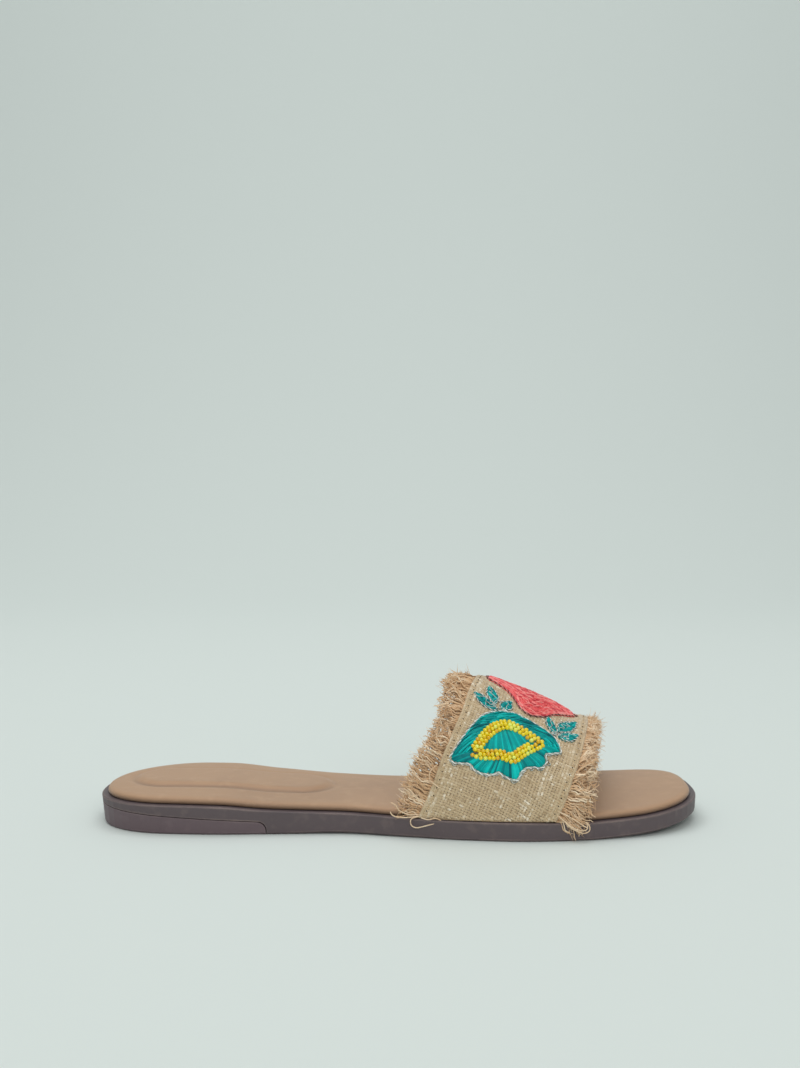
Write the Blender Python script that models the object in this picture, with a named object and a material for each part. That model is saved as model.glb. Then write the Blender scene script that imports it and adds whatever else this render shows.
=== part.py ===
"""A women's flat slide sandal for the right foot.

A moulded sole with a heel lift set into it, a padded insole, one woven band over the foot and a
fringed trim along each of the band's two edges.

Shapes are worked out in millimetres: x from the back of the heel towards the toe, y from the
heel's centre line towards the inner side of the foot, z up from the ground. to_world() turns them
into metres, with the origin on the ground under the middle of the sandal.
"""

import math
from collections import namedtuple

import bmesh
import bpy
import numpy as np

# Driving sizes, in millimetres
LENGTH = 255.0
BALL_WIDTH = 81.0
HEEL_HEIGHT = 12.0
INSTEP_HEIGHT = 59.8
MID_Y = -2.659
GAP = 0.3

# Sole: station and breadths as shares of LENGTH and BALL_WIDTH, rim as a share of HEEL_HEIGHT,
# ground clearance of the underside and inward taper of the wall in millimetres
SoleSection = namedtuple("SoleSection", "station lateral medial rim clearance taper")
SOLE = [
    SoleSection(0.00, 0.385, 0.425, 1.000, 0.00, 1.1),
    SoleSection(0.12, 0.408, 0.440, 1.000, 0.00, 0.9),
    SoleSection(0.20, 0.421, 0.450, 0.975, 0.00, 0.7),
    SoleSection(0.29, 0.409, 0.424, 0.820, 0.00, 0.4),
    SoleSection(0.40, 0.401, 0.352, 0.735, 0.60, 0.2),
    SoleSection(0.50, 0.454, 0.331, 0.675, 0.25, 0.2),
    SoleSection(0.60, 0.512, 0.385, 0.650, 0.00, 0.2),
    SoleSection(0.70, 0.540, 0.452, 0.645, 0.00, 0.2),
    SoleSection(0.79, 0.518, 0.470, 0.615, 0.05, 0.2),
    SoleSection(0.88, 0.464, 0.456, 0.680, 1.10, 0.3),
    SoleSection(1.00, 0.400, 0.430, 0.900, 4.30, 0.3),
]

# Rounded ends of the plan: how far the rounding reaches and how square it is
EndRound = namedtuple("EndRound", "reach power")
HEEL_ROUND = {"lateral": EndRound(34.0, 2.4), "medial": EndRound(40.0, 2.0)}
TOE_ROUND = {"lateral": EndRound(39.0, 2.5), "medial": EndRound(36.0, 3.0)}
HEEL_TIP_Y = -3.0
TOE_TIP_Y = 4.0

# Rounding of the sole's lower edge and of its rim
BOTTOM_ROUND = 0.8
RIM_ROUND = 0.35

# Heel lift
LIFT_BACK_HEIGHT = 9.0
LIFT_FRONT_HEIGHT = 5.0
LIFT_LENGTH = 72.5
LIFT_CORNER = 3.5

# Insole: its edge is given as steps in from the sole's ledge and up from the sole's rim
LEDGE = 2.6
INSOLE_THICKNESS = 2.9
EdgeStep = namedtuple("EdgeStep", "inset rise")
INSOLE_EDGE = [
    EdgeStep(0.3, GAP),
    EdgeStep(0.0, 1.5),
    EdgeStep(0.3, 2.2),
    EdgeStep(1.1, 2.7),
    EdgeStep(2.6, INSOLE_THICKNESS),
]

# Heel pad: an oval raised in the insole
PAD_BACK = 14.0
PAD_FRONT = 97.0
PAD_Y = 2.75
PAD_HALF_WIDTH = 13.75
PAD_RISE = 1.1
PAD_EDGE = 4.5

# Band: wall, and the lasting margin turned in under the insole
BAND_WALL = 2.0
MARGIN_WALL = 1.2
MARGIN_WIDTH = 9.0
ARCH_POWER = 2.2

# Band's two edges: around is the share of the turn from the outer base over the top to the inner
# base, rear and front are stations as shares of LENGTH, and the trims' lengths are in millimetres
BandEdge = namedtuple("BandEdge", "around rear front rear_trim front_trim")
BAND_EDGES = [
    BandEdge(0.00, 0.529, 0.746, 9.0, 12.5),
    BandEdge(0.06, 0.548, 0.759, 11.0, 12.0),
    BandEdge(0.14, 0.566, 0.772, 10.5, 11.0),
    BandEdge(0.22, 0.585, 0.786, 9.5, 9.5),
    BandEdge(0.30, 0.602, 0.797, 11.5, 7.5),
    BandEdge(0.40, 0.616, 0.809, 12.5, 6.0),
    BandEdge(0.50, 0.629, 0.819, 13.0, 5.0),
    BandEdge(0.62, 0.640, 0.826, 12.0, 6.0),
    BandEdge(0.78, 0.645, 0.827, 11.0, 9.0),
    BandEdge(1.00, 0.636, 0.815, 10.0, 10.0),
]

# Band's top line: across is the share of the way from the rear edge to the front edge, height is
# a share of INSTEP_HEIGHT, ridge is the top's y in millimetres
BandSection = namedtuple("BandSection", "across height ridge")
BAND = [
    BandSection(-0.30, 1.000, 2.0),
    BandSection(0.00, 0.993, 2.0),
    BandSection(0.33, 0.914, 1.5),
    BandSection(0.67, 0.797, 1.0),
    BandSection(0.85, 0.717, 0.7),
    BandSection(1.00, 0.682, 0.5),
    BandSection(1.28, 0.530, 0.5),
]

# Fringed trims
FRINGE_WALL = 2.0
FRINGE_TIP = 1.2
FRINGE_FLARE = 1.4
FRINGE_GAP = 0.45

# Cutters: how far they run past what they cut, and how far a margin's pocket reaches down
CUTTER_REACH = 10.0
POCKET_DEPTH = 1.0

# Mesh density
OUTLINE_STEPS = 1500
SIDE_STEPS = 64
CORNER_STEPS = 6
POCKET_STEPS = 8
INSOLE_STEPS = 84
INSOLE_COLUMNS = 18
ARCH_STEPS = 40
BAND_STEPS = 12
FRINGE_STEPS = 5
NORMAL_STEP = 0.004
SHARP_ANGLE = math.radians(35)

MM = 0.001


def smooth_curve(places, values):
    """A smooth curve through a few values that never overshoots them."""
    places = np.array(places, dtype=float)
    values = np.array(values, dtype=float)
    steps = np.diff(places)
    slopes = np.diff(values) / steps
    tangents = np.empty_like(values)
    tangents[0] = slopes[0]
    tangents[-1] = slopes[-1]
    for i in range(1, len(values) - 1):
        before, after = slopes[i - 1], slopes[i]
        same_way = before * after > 0
        tangents[i] = 2 * before * after / (before + after) if same_way else 0.0

    def curve(at):
        at = np.clip(at, places[0], places[-1])
        i = np.clip(np.searchsorted(places, at) - 1, 0, len(steps) - 1)
        t = (at - places[i]) / steps[i]
        start = (1 + 2 * t) * (1 - t) ** 2 * values[i] + t * (1 - t) ** 2 * steps[i] * tangents[i]
        end = t * t * (3 - 2 * t) * values[i + 1] - t * t * (1 - t) * steps[i] * tangents[i + 1]
        return start + end

    return curve


def column(table, place, value, place_unit=1.0, unit=1.0):
    """One column of a table as a smooth curve over another."""
    places = [getattr(row, place) * place_unit for row in table]
    values = [getattr(row, value) * unit for row in table]
    return smooth_curve(places, values)


lateral_line = column(SOLE, "station", "lateral", LENGTH, -BALL_WIDTH)
medial_line = column(SOLE, "station", "medial", LENGTH, BALL_WIDTH)
rim_height = column(SOLE, "station", "rim", LENGTH, HEEL_HEIGHT)
clearance = column(SOLE, "station", "clearance", LENGTH)
wall_taper = column(SOLE, "station", "taper", LENGTH)
rear_edge = column(BAND_EDGES, "around", "rear", 1.0, LENGTH)
front_edge = column(BAND_EDGES, "around", "front", 1.0, LENGTH)
rear_trim = column(BAND_EDGES, "around", "rear_trim")
front_trim = column(BAND_EDGES, "around", "front_trim")
top_height = column(BAND, "across", "height", 1.0, INSTEP_HEIGHT)
ridge_y = column(BAND, "across", "ridge")


def rounded_share(distance, end):
    """Share of the full breadth at a distance from the tip of a rounded end."""
    t = np.clip(1 - distance / end.reach, 0, 1)
    return (1 - t**end.power) ** (1 / end.power)


def side_y(x, side):
    """The rim's edge on one side of the plan."""
    line = lateral_line if side == "lateral" else medial_line
    y = HEEL_TIP_Y + (line(x) - HEEL_TIP_Y) * rounded_share(x, HEEL_ROUND[side])
    return TOE_TIP_Y + (y - TOE_TIP_Y) * rounded_share(LENGTH - x, TOE_ROUND[side])


def rim_loop():
    """The rim's edge as a dense loop: heel to toe outside the foot, then back along its inside."""
    x = LENGTH * (1 - np.cos(np.linspace(0, math.pi, OUTLINE_STEPS + 1))) / 2
    outer = np.column_stack([x, side_y(x, "lateral")])
    inner = np.column_stack([x, side_y(x, "medial")])
    return outer, inner[::-1]


def contour(inset, steps):
    """The plan's outline moved in by an inset at each station, steps to a side, heel tip first."""
    points = []
    for side in rim_loop():
        run = np.concatenate([[0], np.cumsum(np.linalg.norm(np.diff(side, axis=0), axis=1))])
        at = np.linspace(0, run[-1], steps + 1)[:-1]
        place = np.column_stack([np.interp(at, run, side[:, k]) for k in (0, 1)])
        points.append(place)
    loop = np.concatenate(points)
    ahead = np.roll(loop, -1, axis=0) - np.roll(loop, 1, axis=0)
    normals = np.column_stack([-ahead[:, 1], ahead[:, 0]])
    normals /= np.linalg.norm(normals, axis=1)[:, None]
    return loop + normals * inset(loop[:, 0])[:, None]


def raised(curve, amount):
    """A curve with a fixed amount added."""
    return lambda x: curve(x) + amount


def even(amount):
    """The same amount at every station."""
    return lambda x: np.full_like(x, amount)


def ring(inset, height, steps):
    """A contour lifted to the height of each station."""
    plan = contour(inset, steps)
    return np.column_stack([plan, height(plan[:, 0])])


def to_world(point):
    x, y, z = point
    return ((x - LENGTH / 2) * MM, (y - MID_Y) * MM, z * MM)


def close_ring(mesh, verts, columns=1, height=None):
    """Fills a ring with rows that join its two sides, each row cut into columns."""
    half = len(verts) // 2
    rows = [[verts[0]]]
    for i in range(1, half):
        left, right = verts[i], verts[-i]
        row = [left]
        for k in range(1, columns):
            place = left.co.lerp(right.co, k / columns)
            x, y = place.x / MM + LENGTH / 2, place.y / MM + MID_Y
            row.append(mesh.verts.new(to_world((x, y, height(x, y)))))
        rows.append(row + [right])
    rows.append([verts[half]])
    for near, far in zip(rows, rows[1:]):
        for k in range(columns):
            corners = [near[min(k, len(near) - 1)], near[min(k + 1, len(near) - 1)]]
            corners += [far[min(k + 1, len(far) - 1)], far[min(k, len(far) - 1)]]
            mesh.faces.new(list(dict.fromkeys(corners)))


def stack_rings(rings, columns=1, height=None):
    """A closed body from rings stacked from its underside to its top."""
    mesh = bmesh.new()
    levels = [[mesh.verts.new(to_world(point)) for point in level] for level in rings]
    for low, high in zip(levels, levels[1:]):
        for i in range(len(low)):
            j = (i + 1) % len(low)
            mesh.faces.new((low[i], low[j], high[j], high[i]))
    close_ring(mesh, levels[0])
    close_ring(mesh, levels[-1], columns, height)
    return mesh


def add_object(name, mesh, collection, look):
    """Turns a bmesh into an object with its own material."""
    bmesh.ops.recalc_face_normals(mesh, faces=mesh.faces)
    data = bpy.data.meshes.new(name)
    mesh.to_mesh(data)
    mesh.free()
    data.shade_smooth()
    data.set_sharp_from_angle(angle=SHARP_ANGLE)
    made = bpy.data.objects.new(name, data)
    collection.objects.link(made)
    if look:
        data.materials.append(plain_material(name, look))
    return made


def plain_material(name, look):
    """A Principled material from a colour, a roughness and a metallic value."""
    material = bpy.data.materials.new(name)
    material.use_nodes = True
    shader = material.node_tree.nodes["Principled BSDF"]
    shader.inputs["Base Color"].default_value = (*look["colour"], 1)
    shader.inputs["Roughness"].default_value = look["roughness"]
    shader.inputs["Metallic"].default_value = look["metallic"]
    return material


def sole_block():
    """The whole sole, from the ground to the rim, before heel and lift are divided."""
    rings = [
        ring(raised(wall_taper, BOTTOM_ROUND), clearance, SIDE_STEPS),
        ring(wall_taper, raised(clearance, BOTTOM_ROUND), SIDE_STEPS),
        ring(even(0.0), raised(rim_height, -RIM_ROUND), SIDE_STEPS),
        ring(even(RIM_ROUND), rim_height, SIDE_STEPS),
    ]
    return stack_rings(rings)


def lift_side(slack):
    """Side view of the heel lift, grown by a slack, as a closed outline of x and z."""
    front = LIFT_LENGTH + slack
    top = LIFT_FRONT_HEIGHT + slack
    slope = (LIFT_BACK_HEIGHT - LIFT_FRONT_HEIGHT) / LIFT_LENGTH
    back = -CUTTER_REACH
    outline = [(back, -CUTTER_REACH), (back, top + slope * (front - back))]
    for turn in np.linspace(math.pi / 2, 0, CORNER_STEPS + 1):
        x = front - LIFT_CORNER * (1 - math.cos(turn))
        z = top - LIFT_CORNER * (1 - math.sin(turn))
        outline.append((x, z + slope * (front - x)))
    outline.append((front, -CUTTER_REACH))
    return outline


def heel_cutter(name, slack, collection):
    """The heel lift's side view, run right across the sandal."""
    mesh = bmesh.new()
    half = BALL_WIDTH
    near = [mesh.verts.new(to_world((x, -half, z))) for x, z in lift_side(slack)]
    far = [mesh.verts.new(to_world((x, half, z))) for x, z in lift_side(slack)]
    mesh.faces.new(near)
    mesh.faces.new(far[::-1])
    for i in range(len(near)):
        j = (i + 1) % len(near)
        mesh.faces.new((near[i], far[i], far[j], near[j]))
    return hide_cutter(add_object(name, mesh, collection, None))


def hide_cutter(cutter):
    """Keeps a cutter out of the model and its pictures."""
    cutter.display_type = "WIRE"
    cutter.hide_render = True
    return cutter


def cut(target, cutter, operation):
    """Cuts an object with another, or keeps only what lies inside the other."""
    boolean = target.modifiers.new(cutter.name, "BOOLEAN")
    boolean.operation = operation
    boolean.object = cutter
    boolean.solver = "EXACT"


def outsole(parts, cutters):
    """The moulded sole: rim ledge, arch and toe spring, with a seat for the heel lift."""
    look = {"colour": (0.075, 0.055, 0.060), "roughness": 0.55, "metallic": 0.0}
    made = add_object("outsole", sole_block(), parts, look)
    cut(made, heel_cutter("heel_seat_cutter", GAP, cutters), "DIFFERENCE")


def heel_lift(parts, cutters):
    """The low wedge under the heel, flush with the sole's wall."""
    look = {"colour": (0.110, 0.085, 0.090), "roughness": 0.6, "metallic": 0.0}
    made = add_object("heel_lift", sole_block(), parts, look)
    cut(made, heel_cutter("heel_lift_cutter", 0.0, cutters), "INTERSECT")


def pad_rise(x, y):
    """How far the oval heel pad lifts the insole's top."""
    along = np.clip(x, PAD_BACK + PAD_HALF_WIDTH, PAD_FRONT - PAD_HALF_WIDTH)
    reach = math.hypot(x - along, y - PAD_Y)
    t = np.clip((PAD_HALF_WIDTH + PAD_EDGE / 2 - reach) / PAD_EDGE, 0, 1)
    return PAD_RISE * t * t * (3 - 2 * t)


def insole_top(x, y):
    return rim_height(x) + INSOLE_THICKNESS + pad_rise(x, y)


def insole_block():
    """The padded insole: a crowned edge and a raised oval under the heel."""
    rings = [
        ring(even(LEDGE + step.inset), raised(rim_height, step.rise), INSOLE_STEPS)
        for step in INSOLE_EDGE
    ]
    return stack_rings(rings, INSOLE_COLUMNS, insole_top)


def margin_pocket(side, collection):
    """Room under the insole for one of the band's lasting margins."""
    place = 0.0 if side == "lateral" else 1.0
    inwards = 1 if side == "lateral" else -1
    stations = np.linspace(rear_edge(place) - GAP, front_edge(place) + GAP, POCKET_STEPS + 1)
    mesh = bmesh.new()
    rows = []
    for x in stations:
        edge = side_y(x, side)
        outer, inner = edge - inwards, edge + inwards * (2 * GAP + MARGIN_WIDTH)
        low, high = rim_height(x) - POCKET_DEPTH, rim_height(x) + MARGIN_WALL + 2 * GAP
        corners = [(x, outer, low), (x, inner, low), (x, inner, high), (x, outer, high)]
        rows.append([mesh.verts.new(to_world(corner)) for corner in corners])
    for near, far in zip(rows, rows[1:]):
        for i in range(len(near)):
            j = (i + 1) % len(near)
            mesh.faces.new((near[i], near[j], far[j], far[i]))
    mesh.faces.new(rows[0])
    mesh.faces.new(rows[-1][::-1])
    return hide_cutter(add_object(f"{side}_margin_cutter", mesh, collection, None))


def insole(parts, cutters):
    look = {"colour": (0.420, 0.290, 0.200), "roughness": 0.5, "metallic": 0.0}
    made = add_object("insole", insole_block(), parts, look)
    for side in ("lateral", "medial"):
        cut(made, margin_pocket(side, cutters), "DIFFERENCE")


def arch_point(around, across):
    """A point of the band's outer face.

    around runs from 0 at the outer base over the top to 1 at the inner base, and across runs from
    0 at the rear edge to 1 at the front edge.
    """
    side = "lateral" if around <= 0.5 else "medial"
    base_place = 0.0 if side == "lateral" else 1.0
    rear, front = rear_edge(around), front_edge(around)
    base_rear, base_front = rear_edge(base_place), front_edge(base_place)
    x = rear + across * (front - rear)
    base_x = base_rear + across * (base_front - base_rear)
    base_y = side_y(base_x, side) + (GAP if side == "lateral" else -GAP)
    base_z = rim_height(base_x) + GAP
    turn = math.pi * around
    spread = abs(math.cos(turn)) ** (2 / ARCH_POWER)
    rise = abs(math.sin(turn)) ** (2 / ARCH_POWER)
    y = ridge_y(across) + (base_y - ridge_y(across)) * spread
    z = base_z + (top_height(across) - base_z) * rise
    return np.array([x, y, z])


def arch_normal(around, across):
    """The direction straight out of the band's outer face."""
    low, high = max(around - NORMAL_STEP, 0.0), min(around + NORMAL_STEP, 1.0)
    over = arch_point(high, across) - arch_point(low, across)
    along = arch_point(around, across + NORMAL_STEP) - arch_point(around, across - NORMAL_STEP)
    normal = np.cross(along, over)
    if around in (0.0, 1.0):
        normal[2] = 0.0
    return normal / np.linalg.norm(normal)


def band_section(across):
    """One closed section of the band: outer path with its margins, then the inner path back."""
    turns = [k / ARCH_STEPS for k in range(ARCH_STEPS + 1)]
    outer = [arch_point(turn, across) for turn in turns]
    inner = [arch_point(turn, across) - BAND_WALL * arch_normal(turn, across) for turn in turns]
    tips = []
    for point, inwards in ((outer[0], 1), (outer[-1], -1)):
        tip = point + np.array([0, inwards * MARGIN_WIDTH, 0])
        tips.append((tip, tip + np.array([0, 0, MARGIN_WALL])))
    for i in (0, -1):
        inner[i] = inner[i] + np.array([0, 0, MARGIN_WALL])
    outer = [tips[0][0]] + outer + [tips[1][0]]
    inner = [tips[0][1]] + inner + [tips[1][1]]
    return outer, inner


def loft_walls(sections):
    """A closed wall from sections that each hold an outer and an inner path."""
    mesh = bmesh.new()
    rows = []
    for outer, inner in sections:
        path = list(outer) + list(inner)[::-1]
        rows.append([mesh.verts.new(to_world(point)) for point in path])
    count = len(rows[0])
    for near, far in zip(rows, rows[1:]):
        for i in range(count):
            j = (i + 1) % count
            mesh.faces.new((near[i], near[j], far[j], far[i]))
    for end in (rows[0], rows[-1]):
        for i in range(count // 2 - 1):
            mesh.faces.new((end[i], end[i + 1], end[-2 - i], end[-1 - i]))
    return mesh


def upper(parts):
    """The woven band: one hollow wall over the foot, open towards heel and toe and underneath."""
    look = {"colour": (0.520, 0.400, 0.230), "roughness": 0.85, "metallic": 0.0}
    sections = [band_section(k / BAND_STEPS) for k in range(BAND_STEPS + 1)]
    add_object("upper", loft_walls(sections), parts, look)


def fringe_section(edge, share):
    """One section of a fringed trim, at a share of its length away from the band's edge."""
    wall = FRINGE_WALL + share * (FRINGE_TIP - FRINGE_WALL)
    flare = FRINGE_FLARE * share
    outer, inner = [], []
    for k in range(ARCH_STEPS + 1):
        turn = k / ARCH_STEPS
        width = front_edge(turn) - rear_edge(turn)
        if edge == "rear":
            across = -(FRINGE_GAP + share * rear_trim(turn)) / width
        else:
            across = 1 + (FRINGE_GAP + share * front_trim(turn)) / width
        point, normal = arch_point(turn, across), arch_normal(turn, across)
        outer.append(point + flare * normal)
        inner.append(point + (flare - wall) * normal)
    return outer, inner


def fringe(edge, parts):
    """The frayed trim along one edge of the band, as a thin soft wall."""
    look = {"colour": (0.600, 0.400, 0.230), "roughness": 0.95, "metallic": 0.0}
    sections = [fringe_section(edge, k / FRINGE_STEPS) for k in range(FRINGE_STEPS + 1)]
    add_object(f"fringe_{edge}", loft_walls(sections), parts, look)


def clear_scene():
    for item in list(bpy.data.objects):
        bpy.data.objects.remove(item)


def new_collection(name):
    made = bpy.data.collections.new(name)
    bpy.context.scene.collection.children.link(made)
    return made


def main():
    clear_scene()
    parts = new_collection("slide_sandal")
    cutters = new_collection("cutters")
    cutters.hide_render = True
    outsole(parts, cutters)
    heel_lift(parts, cutters)
    insole(parts, cutters)
    upper(parts)
    fringe("rear", parts)
    fringe("front", parts)


main()
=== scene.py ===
import math
from collections import namedtuple

import bmesh
import bpy
import numpy as np
from mathutils import Matrix, Vector


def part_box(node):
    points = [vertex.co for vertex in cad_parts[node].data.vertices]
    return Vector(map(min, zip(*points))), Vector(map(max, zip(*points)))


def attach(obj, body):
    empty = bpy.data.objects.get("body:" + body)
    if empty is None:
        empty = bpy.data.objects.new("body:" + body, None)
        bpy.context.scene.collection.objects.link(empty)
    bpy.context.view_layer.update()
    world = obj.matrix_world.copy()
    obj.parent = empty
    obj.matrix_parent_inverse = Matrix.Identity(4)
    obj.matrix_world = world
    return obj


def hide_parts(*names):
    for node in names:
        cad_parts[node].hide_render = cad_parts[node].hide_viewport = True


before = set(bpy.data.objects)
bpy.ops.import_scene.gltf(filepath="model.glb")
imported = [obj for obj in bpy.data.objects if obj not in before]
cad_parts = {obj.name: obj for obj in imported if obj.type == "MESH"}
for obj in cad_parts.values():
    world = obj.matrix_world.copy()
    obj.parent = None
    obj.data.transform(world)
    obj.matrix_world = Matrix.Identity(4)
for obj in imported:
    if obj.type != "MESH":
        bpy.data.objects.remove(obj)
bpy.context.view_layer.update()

# Looks of a women's flat slide sandal for the right foot, built round its fixed parts.
#
# Shapes are worked out in millimetres, as the parts' own are: x from the back of the heel towards
# the toe, y from the heel's centre line towards the inner side of the foot, z up from the ground.

MM = 0.001

# Driving sizes, in millimetres
SOLE_LOW, SOLE_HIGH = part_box("outsole")
LENGTH = (SOLE_HIGH.x - SOLE_LOW.x) / MM
BALL_WIDTH = 81.0
HEEL_HEIGHT = 12.0
INSTEP_HEIGHT = 59.8
MID_Y = -2.659
GAP = 0.3

# Sole: station and breadths as shares of LENGTH and BALL_WIDTH, rim as a share of HEEL_HEIGHT
SoleSection = namedtuple("SoleSection", "station lateral medial rim")
SOLE = [
    SoleSection(0.00, 0.385, 0.425, 1.000),
    SoleSection(0.12, 0.408, 0.440, 1.000),
    SoleSection(0.20, 0.421, 0.450, 0.975),
    SoleSection(0.29, 0.409, 0.424, 0.820),
    SoleSection(0.40, 0.401, 0.352, 0.735),
    SoleSection(0.50, 0.454, 0.331, 0.675),
    SoleSection(0.60, 0.512, 0.385, 0.650),
    SoleSection(0.70, 0.540, 0.452, 0.645),
    SoleSection(0.79, 0.518, 0.470, 0.615),
    SoleSection(0.88, 0.464, 0.456, 0.680),
    SoleSection(1.00, 0.400, 0.430, 0.900),
]
EndRound = namedtuple("EndRound", "reach power")
HEEL_ROUND = {"lateral": EndRound(34.0, 2.4), "medial": EndRound(40.0, 2.0)}
TOE_ROUND = {"lateral": EndRound(39.0, 2.5), "medial": EndRound(36.0, 3.0)}
HEEL_TIP_Y = -3.0
TOE_TIP_Y = 4.0

# Insole: steps in from the sole's ledge and up from the sole's rim, and its heel pad
LEDGE = 2.6
INSOLE_THICKNESS = 2.9
EdgeStep = namedtuple("EdgeStep", "inset rise")
INSOLE_EDGE = [
    EdgeStep(0.45, GAP),
    EdgeStep(0.12, 0.7),
    EdgeStep(0.0, 1.3),
    EdgeStep(0.08, 1.8),
    EdgeStep(0.4, 2.3),
    EdgeStep(1.1, 2.68),
    EdgeStep(2.3, INSOLE_THICKNESS),
]
PAD_BACK = 14.0
PAD_FRONT = 97.0
PAD_Y = 2.75
PAD_HALF_WIDTH = 13.75
PAD_RISE = 1.1
PAD_EDGE = 4.5
PAD_CREASE_DEPTH = 0.35
PAD_CREASE_WIDTH = 1.6
CROWN_RISE = 0.5
CROWN_RUN_IN = 14.0
INSOLE_SIDE_STEPS = 190
INSOLE_COLUMNS = 44
PLAN_STEPS = 1500
# Shade: in the crease round the pad, and low on the insole's turned edge
CREASE_SHADE = 0.62
CREASE_SHADE_OFFSET = 0.2
EDGE_SHADE = 0.75
EDGE_SHADE_TOP = 2.75
EDGE_SHADE_DEPTH = 2.2

# Band over the foot
BAND_WALL = 1.3
CLOTH_DROP = 0.75
ARCH_POWER = 2.2
# Its edges: how far round the foot, the rear and the front edge as shares of LENGTH, and how far
# each frayed trim stands out
BandEdge = namedtuple("BandEdge", "around rear front rear_trim front_trim")
BAND_EDGES = [
    BandEdge(0.00, 0.529, 0.746, 9.0, 12.5),
    BandEdge(0.06, 0.548, 0.759, 11.0, 12.0),
    BandEdge(0.14, 0.566, 0.772, 10.5, 11.0),
    BandEdge(0.22, 0.585, 0.786, 9.5, 9.5),
    BandEdge(0.30, 0.602, 0.797, 11.5, 7.5),
    BandEdge(0.40, 0.616, 0.809, 12.5, 6.0),
    BandEdge(0.50, 0.629, 0.819, 13.0, 5.0),
    BandEdge(0.62, 0.640, 0.826, 12.0, 6.0),
    BandEdge(0.78, 0.645, 0.827, 11.0, 9.0),
    BandEdge(1.00, 0.636, 0.815, 10.0, 10.0),
]
# Its crest: share of the way across, height as a share of INSTEP_HEIGHT, and where its ridge lies
BandSection = namedtuple("BandSection", "across height ridge")
BAND = [
    BandSection(-0.30, 1.000, 2.0),
    BandSection(0.00, 0.993, 2.0),
    BandSection(0.33, 0.914, 1.5),
    BandSection(0.67, 0.797, 1.0),
    BandSection(0.85, 0.717, 0.7),
    BandSection(1.00, 0.682, 0.5),
    BandSection(1.28, 0.530, 0.5),
]
BAND_WIDTH = 49.0
BAND_STEPS = 40
ARCH_STEPS = 120
SHEET_INSET = 0.004
LINING_WARPS = 90
LINING_WEFTS = 270

# Charts of the band: how finely they are worked out and how far they run from the crest
TURN_STEPS = 401
RUN_REACH = 84.0
RUN_STEP = 0.5
CHART_LINES = 61
CHART_BACK = 128.0
CHART_FRONT = 222.0
NORMAL_STEP = 0.004

# Weave, with PICKS weft yarns on either side of the middle one
WARP_PITCH = 1.26
WEFT_PITCH = 1.10
WARP_RADIUS = 0.52
WEFT_RADIUS = 0.49
YARN_HEIGHT = -0.56
YARN_WAVE = 0.24
GRAIN_SKEW = 9.3
PICKS = 90
WARP_DRIFT = 0.05
WEFT_DRIFT = 0.06
WARP_END = 0.35
WEFT_END = 0.4

# Hems along the band's edges, with their row of stitches and needle holes
HEM_WIDTH = 4.0
HEM_RISE = 0.42
WEFT_HEM_RISE = 0.34
HEM_CALM = 0.55
HOLE_GROOVE = 0.18
GROOVE_WIDTH = 0.7
HOLE_PITCH = 3.4
HOLE_INSET = 1.95
HOLE_RADIUS = 0.30
HOLE_DEPTHS = (-0.5, 0.2, 0.4)
STITCH_ARCH = (-0.1, 0.22, 0.3, 0.22, -0.1)
STITCH_RADIUS = 0.17
STITCH_END = 0.25

RANDOM_SEED = 11


def smooth_curve(places, values):
    """A smooth curve through a few values that never overshoots them."""
    places = np.array(places, dtype=float)
    values = np.array(values, dtype=float)
    steps = np.diff(places)
    slopes = np.diff(values) / steps
    tangents = np.empty_like(values)
    tangents[0] = slopes[0]
    tangents[-1] = slopes[-1]
    for i in range(1, len(values) - 1):
        before, after = slopes[i - 1], slopes[i]
        same_way = before * after > 0
        tangents[i] = 2 * before * after / (before + after) if same_way else 0.0

    def curve(at):
        at = np.clip(at, places[0], places[-1])
        i = np.clip(np.searchsorted(places, at) - 1, 0, len(steps) - 1)
        t = (at - places[i]) / steps[i]
        start = (1 + 2 * t) * (1 - t) ** 2 * values[i] + t * (1 - t) ** 2 * steps[i] * tangents[i]
        end = t * t * (3 - 2 * t) * values[i + 1] - t * t * (1 - t) * steps[i] * tangents[i + 1]
        return start + end

    return curve


def column(table, place, value, place_unit=1.0, unit=1.0):
    """One column of a table as a smooth curve over another."""
    places = [getattr(row, place) * place_unit for row in table]
    values = [getattr(row, value) * unit for row in table]
    return smooth_curve(places, values)


lateral_line = column(SOLE, "station", "lateral", LENGTH, -BALL_WIDTH)
medial_line = column(SOLE, "station", "medial", LENGTH, BALL_WIDTH)
rim_height = column(SOLE, "station", "rim", LENGTH, HEEL_HEIGHT)
rear_edge = column(BAND_EDGES, "around", "rear", 1.0, LENGTH)
front_edge = column(BAND_EDGES, "around", "front", 1.0, LENGTH)
rear_trim = column(BAND_EDGES, "around", "rear_trim")
front_trim = column(BAND_EDGES, "around", "front_trim")
top_height = column(BAND, "across", "height", 1.0, INSTEP_HEIGHT)
ridge_y = column(BAND, "across", "ridge")


def rounded_share(distance, end):
    """Share of the full breadth at a distance from the tip of a rounded end."""
    t = np.clip(1 - distance / end.reach, 0, 1)
    return (1 - t**end.power) ** (1 / end.power)


def side_y(x, side):
    """The rim's edge on one side of the plan."""
    line = lateral_line if side == "lateral" else medial_line
    y = HEEL_TIP_Y + (line(x) - HEEL_TIP_Y) * rounded_share(x, HEEL_ROUND[side])
    return TOE_TIP_Y + (y - TOE_TIP_Y) * rounded_share(LENGTH - x, TOE_ROUND[side])


def to_world(points):
    """Millimetres of the sandal's own axes as metres of the frame."""
    points = np.asarray(points, dtype=float)
    return (points - np.array([LENGTH / 2, MID_Y, 0.0])) * MM


def unit(vectors):
    """The same directions, one long."""
    return vectors / np.linalg.norm(vectors, axis=-1, keepdims=True)


def step_lengths(path):
    """How long each step of a path is."""
    return np.linalg.norm(np.diff(path, axis=0), axis=1)


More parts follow.
